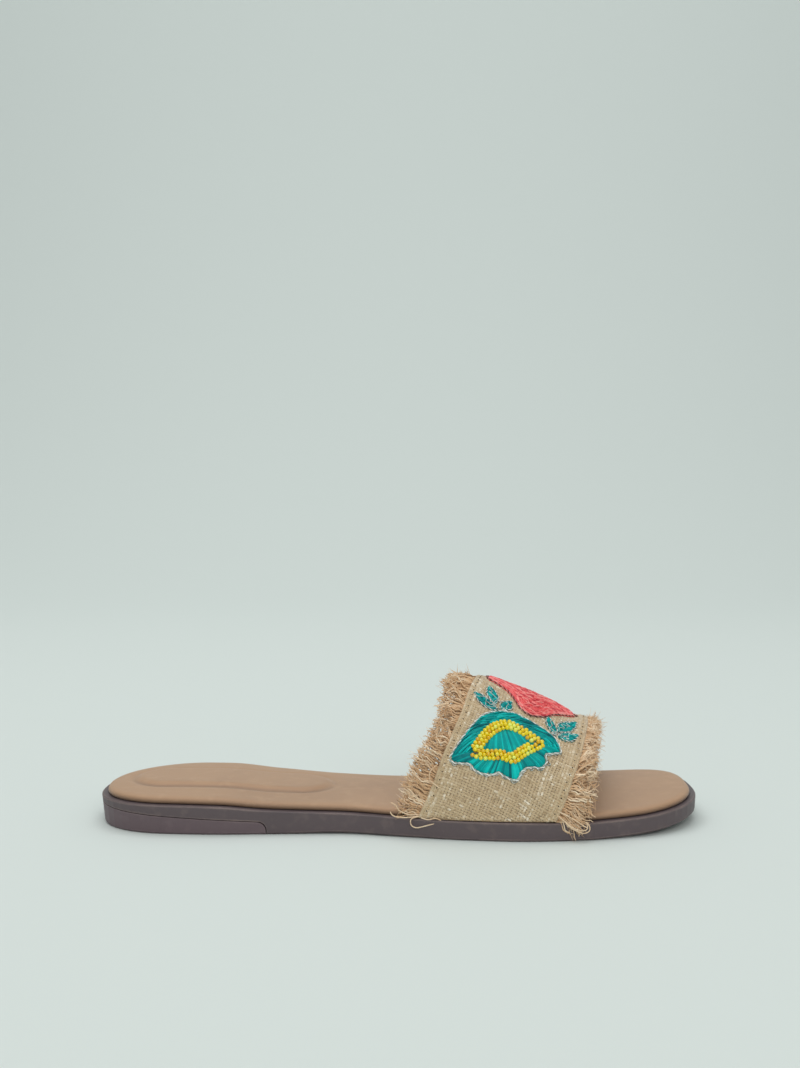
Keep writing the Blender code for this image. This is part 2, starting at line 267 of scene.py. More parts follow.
def run_along(path):
    """How far along a path each of its points lies."""
    return np.concatenate([[0], np.cumsum(step_lengths(path))])


def eased(share):
    """A share kept between 0 and 1 and eased at both ends."""
    share = np.clip(share, 0, 1)
    return share * share * (3 - 2 * share)


# ---------------------------------------------------------------- the band's face


def band_face(around, across):
    """Points of the band's outer face.

    around runs from 0 at the outer base over the top to 1 at the inner base, and across runs from
    0 at the rear edge to 1 at the front edge.
    """
    around, across = np.broadcast_arrays(np.asarray(around, float), np.asarray(across, float))
    rear, front = rear_edge(around), front_edge(around)
    x = rear + across * (front - rear)
    outside = around <= 0.5
    base_rear = np.where(outside, rear_edge(0.0), rear_edge(1.0))
    base_front = np.where(outside, front_edge(0.0), front_edge(1.0))
    base_x = base_rear + across * (base_front - base_rear)
    base_y = np.where(outside, side_y(base_x, "lateral") + GAP, side_y(base_x, "medial") - GAP)
    base_z = rim_height(base_x) + GAP
    turn = math.pi * around
    spread = np.abs(np.cos(turn)) ** (2 / ARCH_POWER)
    rise = np.abs(np.sin(turn)) ** (2 / ARCH_POWER)
    y = ridge_y(across) + (base_y - ridge_y(across)) * spread
    z = base_z + (top_height(across) - base_z) * rise
    return np.stack([x, y, z], axis=-1)


def band_axes(around, across):
    """Unit directions on the band's face: towards the front, down towards the outer base, outwards."""
    around = np.clip(around, 2 * NORMAL_STEP, 1 - 2 * NORMAL_STEP)
    forward = band_face(around, across + NORMAL_STEP) - band_face(around, across - NORMAL_STEP)
    down = band_face(around - NORMAL_STEP, across) - band_face(around + NORMAL_STEP, across)
    outward = unit(np.cross(down, forward))
    forward = unit(forward)
    return forward, unit(np.cross(forward, outward)), outward


def band_point(around, across, height):
    """Points lifted off the band's face."""
    outward = band_axes(around, across)[2]
    return band_face(around, across) + outward * np.asarray(height, float)[..., None]


class Chart:
    """Finds the turn round the band at a run down from its crest, along a family of lines."""

    def __init__(self, first, last, across_on):
        self.first, self.last, self.across_on = first, last, across_on
        self.runs = np.arange(-RUN_REACH, RUN_REACH + RUN_STEP, RUN_STEP)
        turns = np.linspace(0, 1, TURN_STEPS)
        rows = []
        for line in np.linspace(first, last, CHART_LINES):
            path = band_face(turns, across_on(line, turns))
            run = run_along(path)
            down = np.interp(0.5, turns, run) - run
            rows.append(np.interp(self.runs, down[::-1], turns[::-1]))
        self.turns = np.array(rows)

    def turn(self, line, run):
        """How far round the band places on the chart are."""
        spans = CHART_LINES - 1
        i = np.clip((line - self.first) / (self.last - self.first) * spans, 0, spans - 0.001)
        j = np.clip((run + RUN_REACH) / RUN_STEP, 0, len(self.runs) - 1.001)
        a, b = i.astype(int), j.astype(int)
        s, t = i - a, j - b
        low = self.turns[a, b] * (1 - t) + self.turns[a, b + 1] * t
        high = self.turns[a + 1, b] * (1 - t) + self.turns[a + 1, b + 1] * t
        return low * (1 - s) + high * s

    def place(self, line, run, height=0.0):
        """Points at lines and runs, lifted off the face."""
        line, run, height = np.broadcast_arrays(*(np.asarray(v, float) for v in (line, run, height)))
        turn = self.turn(line, run)
        return band_point(turn, self.across_on(line, turn), height)


def across_at_station(x, around):
    """Share of the way across the band at a station."""
    rear, front = rear_edge(around), front_edge(around)
    return (x - rear) / (front - rear)


# Lines of the first chart are stations in millimetres, and those of the second are shares of the
# way across the band, as its warp runs
station_chart = Chart(CHART_BACK, CHART_FRONT, across_at_station)
warp_chart = Chart(-0.25, 1.25, lambda across, around: across + 0 * around)


def base_run(across, side):
    """How far down from the crest the band's base lies, along a warp."""
    turns = np.linspace(0, 0.5, TURN_STEPS) if side == "lateral" else np.linspace(0.5, 1, TURN_STEPS)
    total = step_lengths(band_face(turns, across)).sum()
    return total if side == "lateral" else -total


# ---------------------------------------------------------------- pieces


def add_piece(name, mesh, materials):
    """Puts a finished mesh in the scene as a piece that rides with the sandal."""
    piece = bpy.data.objects.new(name, mesh)
    bpy.context.scene.collection.objects.link(piece)
    for material in materials:
        mesh.materials.append(material)
    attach(piece, "root")
    return piece


def mesh_from(shape, name, sharp_angle=50):
    """Turns a bmesh into mesh data, shaded smooth except where it turns by more than an angle."""
    mesh = bpy.data.meshes.new(name)
    shape.to_mesh(mesh)
    shape.free()
    mesh.shade_smooth()
    mesh.set_sharp_from_angle(angle=math.radians(sharp_angle))
    return mesh


Thread = namedtuple("Thread", "points radii tones")


def thread(points, radius, tone, tips=0.8):
    """A thread along points, thinner at its two ends."""
    radii = np.array(np.broadcast_to(radius, len(points)), float)
    radii[[0, -1]] *= tips
    return Thread(np.asarray(points, float), radii, np.broadcast_to(tone, len(points)))


def thread_mesh(name, threads, resolution):
    """One mesh of many closed round threads, each with its own tone."""
    line = bpy.data.curves.new(name, "CURVE")
    line.dimensions = "3D"
    line.bevel_depth = MM
    line.bevel_resolution = resolution
    line.use_fill_caps = True
    for item in threads:
        spline = line.splines.new("POLY")
        spline.points.add(len(item.points) - 1)
        places = np.column_stack([to_world(item.points), np.ones(len(item.points))])
        spline.points.foreach_set("co", places.ravel())
        spline.points.foreach_set("radius", item.radii)
    holder = bpy.data.objects.new(name, line)
    bpy.context.scene.collection.objects.link(holder)
    mesh = bpy.data.meshes.new_from_object(holder.evaluated_get(bpy.context.evaluated_depsgraph_get()))
    bpy.data.objects.remove(holder)
    bpy.data.curves.remove(line)
    # The caps' vertices come first, last thread first, and the walls' follow in the threads' order
    sides = 4 + 2 * resolution
    tones = [np.repeat([item.tones[-1], item.tones[0]], sides) for item in reversed(threads)]
    tones += [np.repeat(item.tones, sides) for item in threads]
    attribute = mesh.attributes.new("tone", "FLOAT", "POINT")
    attribute.data.foreach_set("value", np.concatenate(tones).astype(np.float32))
    shape = bmesh.new()
    shape.from_mesh(mesh)
    bpy.data.meshes.remove(mesh)
    bmesh.ops.remove_doubles(shape, verts=shape.verts, dist=MM / 2000)
    return mesh_from(shape, name, 80)


def add_threads(name, threads, material, resolution=1):
    """Puts many threads in the scene as one piece."""
    return add_piece(name, thread_mesh(name, threads, resolution), [material])


def grid_cells(grid, rows, columns):
    """The vertices of a new grid, each with its row and its column."""
    for vert in grid["verts"]:
        row = round((vert.co.y + 1) / 2 * (rows - 1))
        yield vert, row, round((vert.co.x + 1) / 2 * (columns - 1))


def thicken(shape, wall):
    """Turns an open sheet's faces up and gives it a wall below them."""
    bmesh.ops.recalc_face_normals(shape, faces=shape.faces)
    if sum(face.normal.z * face.calc_area() for face in shape.faces) < 0:
        bmesh.ops.reverse_faces(shape, faces=shape.faces)
    bmesh.ops.solidify(shape, geom=shape.faces[:], thickness=wall * MM)
    bmesh.ops.recalc_face_normals(shape, faces=shape.faces)


# ---------------------------------------------------------------- material building

# Mottled finishes: main, dark and light colour, scale of the clouds and how strong they are
Finish = namedtuple("Finish", "main dark light scale amount")
FINISHES = {
    # The sole's light colour also serves as the painted highlight along its rounded edges.
    "sole_rubber": Finish((92, 80, 83), (74, 65, 69), (152, 132, 124), 28.0, 0.13),
    "lift_rubber": Finish((102, 86, 91), (84, 70, 75), (138, 120, 122), 28.0, 0.13),
    "insole_leather": Finish((181, 143, 110), (157, 119, 89), (193, 156, 122), 22.0, 0.4),
    "band_backing": Finish((192, 166, 132), (160, 134, 102), (212, 188, 156), 180.0, 0.7),
    "band_lining": Finish((196, 168, 136), (172, 142, 110), (208, 184, 154), 60.0, 0.5),
    "hem_cloth": Finish((204, 180, 146), (170, 142, 108), (238, 222, 196), 320.0, 0.7),
}
INSOLE_SHADE = (112, 90, 76)
# Threads and beads: deep, middle and pale colour, roughness, streaks of fibre, sheen and gloss
Dye = namedtuple("Dye", "deep middle pale rough streaks sheen gloss")
DYES = {
    "band_yarn": Dye((168, 142, 108), (206, 184, 149), (250, 240, 220), 0.85, 0.2, 0.8, 0.5),
    "sewing_thread": Dye((150, 120, 84), (196, 168, 128), (226, 204, 168), 0.7, 0.35, 0.0, 0.5),
    # The needle holes' dark colour is painted shade inside the holes.
    "needle_hole_shade": Dye((58, 42, 30), (78, 58, 42), (96, 74, 54), 0.95, 0.35, 0.0, 0.5),
    "fringe_cotton": Dye((136, 102, 70), (222, 185, 144), (252, 234, 206), 0.9, 0.3, 0.3, 0.5),
    "teal_silk": Dye((0, 108, 116), (0, 164, 162), (10, 214, 208), 0.45, 0.12, 0.0, 0.18),
    "coral_cotton": Dye((204, 56, 70), (246, 96, 98), (255, 158, 152), 0.7, 0.2, 0.25, 0.5),
    "silver_cord": Dye((96, 104, 98), (208, 212, 202), (250, 252, 248), 0.3, 0.2, 0.0, 0.5),
    "brown_outline": Dye((76, 38, 38), (124, 72, 70), (240, 190, 176), 0.7, 0.35, 0.0, 0.5),
    "mauve_net": Dye((104, 58, 58), (178, 104, 100), (222, 150, 140), 0.75, 0.35, 0.0, 0.5),
    "bead_glass": Dye((230, 178, 0), (244, 220, 20), (236, 246, 110), 0.12, 0.0, 0.0, 0.5),
}
COLOUR_SOCKET = "NodeSocketColor"
VALUE_SOCKET = "NodeSocketFloat"
GREY = (0.5, 0.5, 0.5, 1.0)


def colour(red, green, blue):
    """A screen colour from 0 to 255 as the linear value that a shader takes."""
    linear = []
    for part in (red, green, blue):
        share = part / 255
        linear.append(share / 12.92 if share <= 0.04045 else ((share + 0.055) / 1.055) ** 2.4)
    return (*linear, 1.0)


def add_node(tree, kind, values=None, **settings):
    """A node with its settings and the values of its input sockets."""
    made = tree.nodes.new(kind)
    for key, value in settings.items():
        setattr(made, key, value)
    for key, value in (values or {}).items():
        if isinstance(value, bpy.types.NodeSocket):
            tree.links.new(value, made.inputs[key])
        else:
            made.inputs[key].default_value = value
    return made


def blend(tree, factor, first, second):
    """The colour between two others."""
    values = {"Factor": factor, 6: first, 7: second}
    return add_node(tree, "ShaderNodeMix", values, data_type="RGBA").outputs[2]


def ramp(tree, factor, low, high):
    """A value spread from 0 at low to 1 at high, eased at both ends."""
    values = {"Value": factor, "From Min": low, "From Max": high}
    return add_node(tree, "ShaderNodeMapRange", values, interpolation_type="SMOOTHSTEP").outputs[0]


def maths(tree, operation, first, second=0.0):
    """A Math node's value."""
    return add_node(tree, "ShaderNodeMath", {0: first, 1: second}, operation=operation).outputs[0]


def clouds(tree, scale, detail=2.0, roughness=0.5):
    """Noise over the sandal's own axes."""
    place = add_node(tree, "ShaderNodeTexCoord").outputs["Object"]
    values = {"Vector": place, "Scale": scale, "Detail": detail, "Roughness": roughness}
    return add_node(tree, "ShaderNodeTexNoise", values).outputs["Fac"]


def new_group(name, inputs, outputs):
    """An empty node group with named sockets, and its own ends of them."""
    group = bpy.data.node_groups.new(name, "ShaderNodeTree")
    for label, kind, value in inputs:
        socket = group.interface.new_socket(label, in_out="INPUT", socket_type=kind)
        socket.default_value = value
    for label, kind in outputs:
        group.interface.new_socket(label, in_out="OUTPUT", socket_type=kind)
    return group, group.nodes.new("NodeGroupInput").outputs, group.nodes.new("NodeGroupOutput").inputs


def mottle_group():
    """Uneven colour at two scales, as in leather, cloth and moulded rubber."""
    inputs = [(label, COLOUR_SOCKET, GREY) for label in ("Colour", "Dark", "Light")]
    inputs += [("Scale", VALUE_SOCKET, 60.0), ("Amount", VALUE_SOCKET, 0.5)]
    outputs = [("Colour", COLOUR_SOCKET), ("Mask", VALUE_SOCKET)]
    group, given, result = new_group("mottle", inputs, outputs)
    broad = clouds(group, given["Scale"], 3.0, 0.6)
    fine = clouds(group, maths(group, "MULTIPLY", given["Scale"], 9.0))
    dark = maths(group, "MULTIPLY", ramp(group, broad, 0.55, 0.3), given["Amount"])
    light = maths(group, "MULTIPLY", ramp(group, fine, 0.5, 0.75), given["Amount"])
    toned = blend(group, dark, given["Colour"], given["Dark"])
    group.links.new(blend(group, light, toned, given["Light"]), result["Colour"])
    group.links.new(broad, result["Mask"])
    return group


def thread_tint_group():
    """Colour of threads: each by its own tone, with fine streaks of fibre along them."""
    inputs = [(label, COLOUR_SOCKET, GREY) for label in ("Deep", "Colour", "Pale")]
    inputs += [("Streaks", VALUE_SOCKET, 0.35)]
    outputs = [("Colour", COLOUR_SOCKET), ("Height", VALUE_SOCKET)]
    group, given, result = new_group("thread_tint", inputs, outputs)
    tone = add_node(group, "ShaderNodeAttribute", attribute_name="tone").outputs["Fac"]
    fibres = clouds(group, 1400.0, 2.0, 0.6)
    patches = maths(group, "SUBTRACT", clouds(group, 160.0), 0.5)
    uneven = maths(group, "ADD", tone, maths(group, "MULTIPLY", patches, 0.5))
    tinted = blend(group, ramp(group, uneven, 0.5, 0.0), given["Colour"], given["Deep"])
    tinted = blend(group, ramp(group, uneven, 0.55, 1.05), tinted, given["Pale"])
    streak = maths(group, "MULTIPLY", ramp(group, fibres, 0.5, 0.3), given["Streaks"])
    group.links.new(blend(group, streak, tinted, given["Deep"]), result["Colour"])
    group.links.new(fibres, result["Height"])
    return group


MOTTLE = mottle_group()
THREAD_TINT = thread_tint_group()


def new_material(name, **values):
    """A material, its tree and its Principled shader, with what is the same all over set on it."""
    material = bpy.data.materials.new(name)
    material.use_nodes = True
    shader = material.node_tree.nodes["Principled BSDF"]
    for label, value in values.items():
        shader.inputs[label.replace("_", " ")].default_value = value
    return material, material.node_tree, shader


def mottled(name, **values):
    """A material in one of the mottled finishes, with the outputs of its clouds."""
    material, tree, shader = new_material(name, **values)
    finish = FINISHES[name]
    tones = {"Colour": colour(*finish.main), "Dark": colour(*finish.dark), "Light": colour(*finish.light)}
    sockets = {**tones, "Scale": finish.scale, "Amount": finish.amount}
    cloud = add_node(tree, "ShaderNodeGroup", sockets, node_tree=MOTTLE).outputs
    tree.links.new(cloud["Colour"], shader.inputs["Base Color"])
    return material, tree, shader, cloud


def dyed(name, **values):
    """A material in one of the dyes, with the height of its fibres."""
    dye = DYES[name]
    finish = {"Sheen_Weight": dye.sheen, "Sheen_Roughness": 0.4, "Specular_IOR_Level": dye.gloss}
    material, tree, shader = new_material(name, Roughness=dye.rough, **finish, **values)
    tones = {"Deep": colour(*dye.deep), "Colour": colour(*dye.middle), "Pale": colour(*dye.pale)}
    sockets = {**tones, "Streaks": dye.streaks}
    tint = add_node(tree, "ShaderNodeGroup", sockets, node_tree=THREAD_TINT).outputs
    tree.links.new(tint["Colour"], shader.inputs["Base Color"])
    return material, tree, shader, tint["Height"]


def relief(tree, shader, height, strength, distance):
    """Feeds a height to the shader's normal."""
    values = {"Height": height, "Strength": strength, "Distance": distance}
    bump = add_node(tree, "ShaderNodeBump", values)
    tree.links.new(bump.outputs["Normal"], shader.inputs["Normal"])


def thread_material(name):
    """Dyed thread."""
    material, tree, shader, fibres = dyed(name)
    relief(tree, shader, fibres, 0.5, 0.0002)
    return material


def sole_material(name):
    """Moulded sole: clouded, finely pitted, and paler in patches along its rounded rim and ground edge: a
    painted highlight on those edges, patchy like wear.
    """
    material, tree, shader, cloud = mottled(name)
    rub = clouds(tree, 30.0, 5.0, 0.7)
    # Painted highlight: where the bevelled normal turns from the face's own, on the rounded rim and
    # ground edge, the colour is paled towards the finish's light colour in wear-like patches.
    edge = add_node(tree, "ShaderNodeBevel", {"Radius": 0.0011}, samples=4).outputs["Normal"]
    facing = add_node(tree, "ShaderNodeNewGeometry").outputs["Normal"]
    turned = add_node(tree, "ShaderNodeVectorMath", {0: edge, 1: facing}, operation="DOT_PRODUCT")
    rounded = ramp(tree, turned.outputs["Value"], 0.985, 0.85)
    painted_highlight_and_wear = maths(tree, "MULTIPLY", rounded, ramp(tree, rub, 0.35, 0.62))
    finish = blend(tree, painted_highlight_and_wear, cloud["Colour"], colour(*FINISHES[name].light))
    tree.links.new(finish, shader.inputs["Base Color"])
    rough = maths(tree, "ADD", 0.38, maths(tree, "MULTIPLY", rub, 0.25))
    tree.links.new(rough, shader.inputs["Roughness"])
    relief(tree, shader, clouds(tree, 1800.0), 0.35, 0.0001)
    return material


def insole_material():
    """Soft tan leather: fine pebble grain, faint clouding, and painted shade low on its turned edge and
    in the crease round the heel pad.
    """
    material, tree, shader, cloud = mottled("insole_leather", Sheen_Weight=0.15)
    painted_shade = add_node(tree, "ShaderNodeAttribute", attribute_name="painted_shade").outputs["Fac"]
    # Painted shade: the leather is darkened in the crease round the pad and low on its turned edge.
    shaded = blend(tree, painted_shade, cloud["Colour"], colour(*INSOLE_SHADE))
    tree.links.new(shaded, shader.inputs["Base Color"])
    values = {"Vector": add_node(tree, "ShaderNodeTexCoord").outputs["Object"], "Scale": 1500.0}
    grain = add_node(tree, "ShaderNodeTexVoronoi", values, feature="DISTANCE_TO_EDGE")
    pebble = ramp(tree, grain.outputs["Distance"], 0.0, 0.25)
    height = maths(tree, "ADD", pebble, maths(tree, "MULTIPLY", clouds(tree, 260.0, 4.0), 2.0))
    relief(tree, shader, height, 0.25, 0.00012)
    rough = maths(tree, "ADD", 0.42, maths(tree, "MULTIPLY", cloud["Mask"], 0.2))
    tree.links.new(rough, shader.inputs["Roughness"])
    return material


def backing_material():
    """Cloth behind the weave, seen in the gaps between the yarns."""
    material, tree, shader, cloud = mottled("band_backing", Roughness=0.9)
    relief(tree, shader, cloud["Mask"], 0.4, 0.0003)
    return material


def lining_material():
    """Plain woven lining inside the band."""
    material, tree, shader, _ = mottled("band_lining", Roughness=0.75, Sheen_Weight=0.2)
    place = add_node(tree, "ShaderNodeUVMap", uv_map="cloth").outputs["UV"]
    shares = add_node(tree, "ShaderNodeSeparateXYZ", {0: place}).outputs
    waves = []
    for axis, yarns in (("X", LINING_WARPS), ("Y", LINING_WEFTS)):
        turn = maths(tree, "MULTIPLY", shares[axis], 2 * math.pi * yarns)
        waves.append(maths(tree, "SINE", turn))
    relief(tree, shader, maths(tree, "MULTIPLY", *waves), 0.4, 0.00012)
    return material


def hem_material():
    """The cloth of the folded hems, with its fibres."""
    material, tree, shader, _ = mottled("hem_cloth", Roughness=0.85, Sheen_Weight=0.3)
    relief(tree, shader, clouds(tree, 1500.0, 3.0), 0.5, 0.0002)
    return material


def bead_material():
    """Glossy yellow glass beads, some of them deeper."""
    material, tree, shader, _ = dyed("bead_glass", Coat_Weight=0.6, Coat_Roughness=0.05)
    relief(tree, shader, clouds(tree, 900.0), 0.15, 0.0001)
    return material


# ---------------------------------------------------------------- sole


def dress_sole():
    """The moulded sole and its heel lift keep their shapes and take their finish."""
    for node, finish in (("outsole", "sole_rubber"), ("heel_lift", "lift_rubber")):
        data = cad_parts[node].data
        data.materials.clear()
        data.materials.append(sole_material(finish))


# ---------------------------------------------------------------- insole


def outline(inset, steps):
    """The plan's outline moved in by an inset: heel to toe outside the foot, back along its inside."""
    x = LENGTH * (1 - np.cos(np.linspace(0, math.pi, PLAN_STEPS + 1))) / 2
    sides = [
        np.column_stack([x, side_y(x, "lateral")]),
        np.column_stack([x, side_y(x, "medial")])[::-1],
    ]
    points = []
    for side in sides:
        run = run_along(side)
        at = np.linspace(0, run[-1], steps + 1)[:-1]
        points.append(np.column_stack([np.interp(at, run, side[:, k]) for k in (0, 1)]))
    loop = np.concatenate(points)
    ahead = np.roll(loop, -1, axis=0) - np.roll(loop, 1, axis=0)
    return loop + unit(np.column_stack([-ahead[:, 1], ahead[:, 0]])) * inset


def pad_reach(x, y):
    """How far a place lies outside the heel pad's oval, in millimetres."""
    along = np.clip(x, PAD_BACK + PAD_HALF_WIDTH, PAD_FRONT - PAD_HALF_WIDTH)
    return np.hypot(x - along, y - PAD_Y) - PAD_HALF_WIDTH


def insole_top(x, y):
    """The insole's top: slightly crowned, with the heel pad raised inside a soft crease."""
    reach = pad_reach(x, y)
    pad = PAD_RISE * eased((PAD_EDGE / 2 - reach) / PAD_EDGE)
    crease = PAD_CREASE_DEPTH * np.exp(-(((reach - PAD_EDGE / 2) / PAD_CREASE_WIDTH) ** 2))
    lateral, medial = side_y(x, "lateral"), side_y(x, "medial")
    half = np.maximum((medial - lateral) / 2 - LEDGE, 1.0)
    from_end = np.clip((np.minimum(x, LENGTH - x) - LEDGE - INSOLE_EDGE[-1].inset) / CROWN_RUN_IN, 0, 1)
    crown = CROWN_RISE * np.clip(1 - ((y - (lateral + medial) / 2) / half) ** 2, 0, 1)
    return rim_height(x) + INSOLE_THICKNESS + pad + crown * from_end * (2 - from_end) - crease


def insole_painted_shade(x, y, rise):
    """How much of the crease's and the foot's shade lies at a place of the insole."""
    # Painted shade: darker in the crease round the pad, more on its outer side, and low on the turned
    # edge.
    crease = CREASE_SHADE * np.exp(-((pad_reach(x, y) - PAD_EDGE / 2 + CREASE_SHADE_OFFSET) ** 2))
    near_side = np.clip((PAD_Y - y) / PAD_HALF_WIDTH, 0.2, 1)
    foot = EDGE_SHADE * np.clip((EDGE_SHADE_TOP - rise) / EDGE_SHADE_DEPTH, 0, 1)
    return np.maximum(crease * near_side, foot)


def add_ring(shape, plan, heights):
    """A closed ring of vertices, one at each place of a plan outline."""
    ring = bmesh.ops.create_circle(shape, segments=len(plan), radius=1.0)["verts"]
    for vert, place in zip(ring, np.column_stack([plan, heights])):
        vert.co = to_world(place)
    return ring


def chain_edges(shape, chain, closed=False):
    """The edges between neighbours of a chain of vertices."""
    ahead = chain[1:] + chain[:1] if closed else chain[1:]
    return [shape.edges.get((a, b)) for a, b in zip(chain, ahead)]


def add_insole():
    """The padded insole: rings drawn up over its rounded edge, closed by rows across its top."""
    shape = bmesh.new()
    # Each vertex carries how much painted shade lies on it, in the crease round the pad and low on the
    # turned edge.
    painted_shade = shape.verts.layers.float.new("painted_shade")
    rings = []
    for step in INSOLE_EDGE:
        plan = outline(LEDGE + step.inset, INSOLE_SIDE_STEPS)
        ring = add_ring(shape, plan, rim_height(plan[:, 0]) + step.rise)
        for vert, (x, y) in zip(ring, plan):
            vert[painted_shade] = float(insole_painted_shade(x, y, step.rise))
        rings.append(ring)
    for low, high in zip(rings, rings[1:]):
        edges = chain_edges(shape, low, True) + chain_edges(shape, high, True)
        bmesh.ops.bridge_loops(shape, edges=edges)
    top, half = rings[-1], INSOLE_SIDE_STEPS
    outer, inner = top[1:half], top[half + 1 :]
    bmesh.ops.bridge_loops(shape, edges=chain_edges(shape, outer) + chain_edges(shape, inner))
    rows = [shape.edges.get((a, b)) for a, b in zip(outer, inner[::-1])]
    cuts = INSOLE_COLUMNS - 1
    filled = bmesh.ops.subdivide_edges(shape, edges=rows, cuts=cuts, use_grid_fill=True)["geom_inner"]
    for vert in (part for part in filled if isinstance(part, bmesh.types.BMVert)):
        x, y = vert.co.x / MM + LENGTH / 2, vert.co.y / MM + MID_Y
        height = insole_top(x, y)
        vert.co.z = height * MM
        vert[painted_shade] = float(insole_painted_shade(x, y, height - rim_height(x)))
    bmesh.ops.holes_fill(shape, edges=shape.edges, sides=0)
    bmesh.ops.recalc_face_normals(shape, faces=shape.faces)
    bmesh.ops.triangulate(shape, faces=[face for face in shape.faces if len(face.verts) > 4])
    piece = add_piece("insole_cover", mesh_from(shape, "insole_cover"), [insole_material()])
    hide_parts("insole")


# ---------------------------------------------------------------- band


def add_band_sheet():
    """The band's backing and lining: one closed sheet over the foot."""
    shape = bmesh.new()
    uv = shape.loops.layers.uv.new("cloth")
    even = np.linspace(0, 1, ARCH_STEPS + 1)
    turns = 0.5 * (0.5 - 0.5 * np.cos(math.pi * even)) + 0.5 * even
    acrosses = np.linspace(SHEET_INSET, 1 - SHEET_INSET, BAND_STEPS + 1)
    around, across = np.meshgrid(turns, acrosses, indexing="ij")
    places = to_world(band_point(around, across, np.full(around.shape, -CLOTH_DROP)))
    grid = bmesh.ops.create_grid(shape, x_segments=BAND_STEPS, y_segments=ARCH_STEPS, size=1.0)
    share_of = {}
    for vert, i, j in grid_cells(grid, ARCH_STEPS + 1, BAND_STEPS + 1):
        share_of[vert] = (across[i, j], around[i, j])
        vert.co = places[i, j]
    for face in shape.faces:
        for loop in face.loops:
            loop[uv].uv = share_of[loop.vert]
    thicken(shape, BAND_WALL)
    foot = Vector(to_world((0.7 * LENGTH, 0.0, 10.0)))
    for face in shape.faces:
        reach = face.calc_center_median() - foot
        reach.x = 0.0
        face.material_index = 0 if face.normal.dot(reach) > 0 else 1
    materials = [backing_material(), lining_material()]
    piece = add_piece("band_sheet", mesh_from(shape, "band_sheet"), materials)
    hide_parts("upper")
    return piece


def steady_noise(rng, count, spacing):
    """Smooth random values about zero, one every so many places."""
    knots = rng.normal(0, 1, count // spacing + 3)
    return np.interp(np.arange(count) / spacing, np.arange(len(knots)), knots)


def yarn_tone(rng, count):
    """Tone along a yarn: its own, finely speckled, with a few pale thick places."""
    own = 0.5 + 0.08 * rng.normal()
    noise = steady_noise(rng, count, 3)
    return own + 0.08 * rng.normal(0, 1, count) + 0.1 * noise + 0.22 * np.clip(noise - 1.1, 0, 1)


def band_runs(across):
    """How far up and down from the crest a warp goes."""
    return base_run(across, "medial"), base_run(across, "lateral")


def warp_shares():
    """Where each warp lies, as a share of the way across the band."""
    count = round(BAND_WIDTH / WARP_PITCH)
    return np.linspace(0.5, count - 0.5, count) / count


def hem_share(share):
    """How much of a hem lies at a share of the way across: 1 on either hem, 0 on the open cloth."""
    inset = np.minimum(share, 1 - share) * BAND_WIDTH
    return eased((HEM_WIDTH + 0.4 - inset) / 0.9)


def warp_threads(rng, lowest, highest):
    """The warp's yarns, which run along the band from base to base."""
    places = np.arange(-2 * PICKS, 2 * PICKS + 1)
    threads = []
    for k, share in enumerate(warp_shares()):
        drift = steady_noise(rng, len(places), 7) * WARP_DRIFT / BAND_WIDTH
        run = places * WEFT_PITCH / 2 + GRAIN_SKEW * share
        keep = (run > lowest(share) + WARP_END) & (run < highest(share) - WARP_END)
        hem = float(hem_share(share))
        from_holes = min(share, 1 - share) * BAND_WIDTH - HOLE_INSET
        groove = HOLE_GROOVE * math.exp(-((from_holes / GROOVE_WIDTH) ** 2))
        wave = YARN_WAVE * (1 - HEM_CALM * hem)
        height = YARN_HEIGHT + HEM_RISE * hem - groove + wave * np.cos(math.pi * (places / 2 + k))
        radius = WARP_RADIUS * (1 + 0.13 * steady_noise(rng, len(places), 5)).clip(0.75, 1.3)
        tone = yarn_tone(rng, len(places))
        points = warp_chart.place(share + drift[keep], run[keep], height[keep])
        threads.append(thread(points, radius[keep] * (1 + 0.1 * hem), tone[keep]))
    return threads


def weft_threads(rng, lowest, highest):
    """The weft's yarns, which run from the band's rear edge to its front edge."""
    shares = warp_shares()
    steps = np.arange(2 * len(shares) - 1)
    at = np.interp(steps / 2, np.arange(len(shares)), shares)
    hem = hem_share(at)
    wave = YARN_WAVE * (1 - 0.4 * hem)
    threads = []
    for pick in range(-PICKS, PICKS + 1):
        run = pick * WEFT_PITCH + GRAIN_SKEW * at + steady_noise(rng, len(at), 6) * WEFT_DRIFT
        keep = (run > lowest(at) + WEFT_END) & (run < highest(at) - WEFT_END)
        if keep.sum() < 4:
            continue
        height = YARN_HEIGHT + WEFT_HEM_RISE * hem - wave * np.cos(math.pi * (steps / 2 + pick))
        radius = WEFT_RADIUS * (1 + 0.16 * steady_noise(rng, len(at), 5)).clip(0.7, 1.35)
        tone = yarn_tone(rng, len(at))
        points = warp_chart.place(at[keep], run[keep], height[keep])
        threads.append(thread(points, radius[keep], tone[keep]))
    return threads


def add_weave(rng):
    """Plain weave of uneven yarn over the band's backing."""
    shares = np.linspace(0, 1, 21)
    limits = [band_runs(share) for share in shares]
    lowest = smooth_curve(shares, [low for low, high in limits])
    highest = smooth_curve(shares, [high for low, high in limits])
    warps = warp_threads(rng, lowest, highest)
    wefts = weft_threads(rng, lowest, highest)
    yarn = thread_material("band_yarn")
    return [
        add_threads("band_warp", warps, yarn),
        add_threads("band_weft", wefts, yarn),
    ]


# ---------------------------------------------------------------- hems

